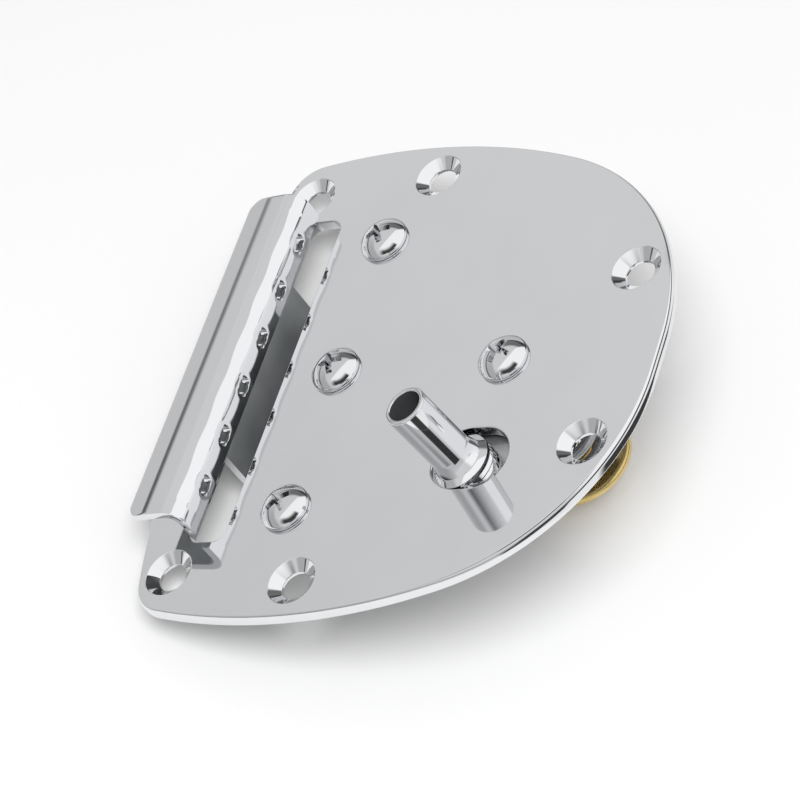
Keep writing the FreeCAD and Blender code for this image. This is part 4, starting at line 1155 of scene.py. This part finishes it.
class Studio:
    """Brightness all round the part, worked out by nodes from the way that is looked in."""

    def __init__(self, tree):
        self.nodes = tree.nodes
        self.links = tree.links
        self.way = self.nodes.new("ShaderNodeTexCoord").outputs["Generated"]
        parts = self.nodes.new("ShaderNodeSeparateXYZ")
        self.links.new(self.way, parts.inputs["Vector"])
        self.up = parts.outputs["Z"]
        turn = self.nodes.new("ShaderNodeTexGradient")
        turn.gradient_type = "RADIAL"
        self.links.new(self.way, turn.inputs["Vector"])
        self.turn = turn.outputs["Fac"]

    def join(self, source, socket):
        """Feeds a socket from a node or from a plain number."""
        if not isinstance(source, float):
            self.links.new(source, socket)
        elif socket.type == "RGBA":
            socket.default_value = (source, source, source, 1)
        else:
            socket.default_value = source

    def toward(self, way):
        """How far a look goes in a given way, from -1 to 1."""
        product = self.nodes.new("ShaderNodeVectorMath")
        product.operation = "DOT_PRODUCT"
        product.inputs[1].default_value = way
        self.links.new(self.way, product.inputs[0])
        return product.outputs["Value"]

    def around(self, stops):
        """Levels all round, through stops of (degrees, level) from -180 to 180."""
        ramp = self.nodes.new("ShaderNodeValToRGB")
        elements = ramp.color_ramp.elements
        elements.remove(elements[-1])
        for index, (degrees, level) in enumerate(stops):
            share = (degrees + 180) / 360
            element = elements[0] if index == 0 else elements.new(share)
            element.position = share
            element.color = (level, level, level, 1)
        self.links.new(self.turn, ramp.inputs["Fac"])
        return ramp.outputs["Color"]

    def mix(self, factor, first, second):
        """The first level where the factor is 0 and the second where it is 1."""
        mixed = self.nodes.new("ShaderNodeMix")
        mixed.data_type = "RGBA"
        self.links.new(factor, mixed.inputs["Factor"])
        self.join(first, mixed.inputs["A"])
        self.join(second, mixed.inputs["B"])
        return mixed.outputs["Result"]

    def combine(self, operation, first, second=0.0):
        """Two levels put together by an operation."""
        node = self.nodes.new("ShaderNodeMath")
        node.operation = operation
        self.join(first, node.inputs[0])
        self.join(second, node.inputs[1])
        return node.outputs["Value"]

    def step(self, source, low, high):
        """A soft step from 0 at low to 1 at high."""
        node = self.nodes.new("ShaderNodeMapRange")
        node.interpolation_type = "SMOOTHSTEP"
        node.inputs["From Min"].default_value = low
        node.inputs["From Max"].default_value = high
        self.links.new(source, node.inputs["Value"])
        return node.outputs["Result"]


def room_level(studio, height):
    """The room over the horizon: low round, overhead, the soft lamp on the right and the dark under it."""
    overhead = studio.step(height, OVERHEAD_FOOT, OVERHEAD_FULL)
    level = studio.mix(overhead, studio.around(LOW_ROUND), OVERHEAD_LEVEL)
    hung = studio.step(studio.up, LAMP_FOOT_Z, LAMP_FULL_Z)
    past_wall = studio.step(studio.toward(GREY_WALL_WAY), GREY_WALL_REACH + GREY_WALL_SOFTNESS,
                            GREY_WALL_REACH - GREY_WALL_SOFTNESS)
    lamp = studio.combine("MULTIPLY", past_wall, studio.combine("MAXIMUM", studio.around(LAMP_ROUND), hung))
    level = studio.mix(lamp, level, SOFT_LAMP_LEVEL)
    over_foot = studio.step(studio.up, DARK_FOOT_Z, DARK_FULL_Z)
    dark_height = studio.combine("MULTIPLY", studio.combine("SUBTRACT", 1.0, hung), over_foot)
    dark = studio.combine("MULTIPLY", studio.around(DARK_ROUND), dark_height)
    return studio.mix(dark, level, DARK_SIDE_LEVEL)


def over_horizon(studio, height, level):
    """The room's level with the dark strip along its horizon."""
    over_strip = studio.combine("SUBTRACT", height, studio.around(HORIZON_HEIGHTS))
    clear = studio.step(over_strip, -HORIZON_SOFTNESS, HORIZON_SOFTNESS)
    return studio.mix(clear, studio.around(HORIZON_LEVELS), level)


def over_floor(studio, height, level):
    """The level with what is seen under the horizon, past the floor and its rim."""
    deep = studio.step(studio.up, RIM_DARK_Z + DARK_SOFTNESS, RIM_DARK_Z)
    past_rim = studio.combine("MULTIPLY", studio.around(RIM_ROUND), deep)
    under = studio.mix(past_rim, studio.around(UNDER_ROUND), DARK_SIDE_LEVEL)
    return studio.mix(studio.step(height, -UNDER_SOFTNESS, 0.0), under, level)


def behind_stand(studio, level):
    """The level with the dark stand in front of it, both over and under the level line."""
    off_level = studio.combine("ABSOLUTE", studio.up)
    past_foot = studio.step(off_level, STAND_FOOT_Z, STAND_FOOT_Z + DARK_SOFTNESS)
    under_top = studio.step(off_level, STAND_TOP_Z, STAND_TOP_Z - DARK_SOFTNESS)
    stand_height = studio.combine("MULTIPLY", past_foot, under_top)
    stand = studio.combine("MULTIPLY", studio.around(STAND_ROUND), stand_height)
    return studio.mix(stand, level, DARK_SIDE_LEVEL)


def make_world():
    """A soft studio: a lamp on the right and overhead, a grey wall behind, a dark room and stand in front."""
    world = bpy.data.worlds.new("studio")
    bpy.context.scene.world = world
    world.use_nodes = True
    background = world.node_tree.nodes["Background"]
    studio = Studio(world.node_tree)
    aside = math.sin(STUDIO_LEAN)
    height = studio.toward((aside * math.cos(STUDIO_LEAN_SIDE), aside * math.sin(STUDIO_LEAN_SIDE),
                            math.cos(STUDIO_LEAN)))
    level = over_horizon(studio, height, room_level(studio, height))
    level = behind_stand(studio, over_floor(studio, height, level))
    rays = studio.nodes.new("ShaderNodeLightPath")
    level = studio.mix(rays.outputs["Is Camera Ray"], level, 1.0)
    studio.links.new(level, background.inputs["Color"])
    less = studio.combine("MULTIPLY", rays.outputs["Is Diffuse Ray"], 1 - FILL_SHARE)
    studio.links.new(studio.combine("SUBTRACT", 1.0, less), background.inputs["Strength"])


def add_lamp(name, place, aim, size, watts):
    """A round lamp that polished surfaces don't mirror."""
    lamp = bpy.data.lights.new(name, "AREA")
    lamp.shape = "DISK"
    lamp.size = size
    lamp.energy = watts
    holder = add_object(name, lamp)
    holder.location = place
    holder.rotation_euler = (Vector(aim) - Vector(place)).to_track_quat("-Z", "Y").to_euler()
    holder.visible_glossy = False


def make_camera():
    """The camera, set as for the reference view."""
    lens = bpy.data.cameras.new("camera")
    lens.lens = CAMERA_LENS
    lens.sensor_width = SENSOR_WIDTH
    lens.clip_start = CAMERA_NEAR
    lens.clip_end = CAMERA_FAR
    camera = add_object("camera", lens)
    camera.location = Vector(CAMERA_PLACE) * MM
    camera.rotation_euler = [math.radians(angle) for angle in CAMERA_TURN]
    bpy.context.scene.camera = camera


make_camera()
make_world()
add_lamp("key", KEY_PLACE, KEY_AIM, KEY_SIZE, KEY_WATTS)
for entry in frame["record"]["subparts"]:
    node = frame["nodes"][entry["node"]]
    for slot in node.material_slots:
        slot.material = FINISHES[entry["material_slot"]]
make_base_plate()
make_screws()
make_string_anchor()
make_collet()
make_collet_ring()
make_spring_nut()
make_tension_spring()
make_floor()
bpy.context.scene.view_settings.view_transform = "Standard"
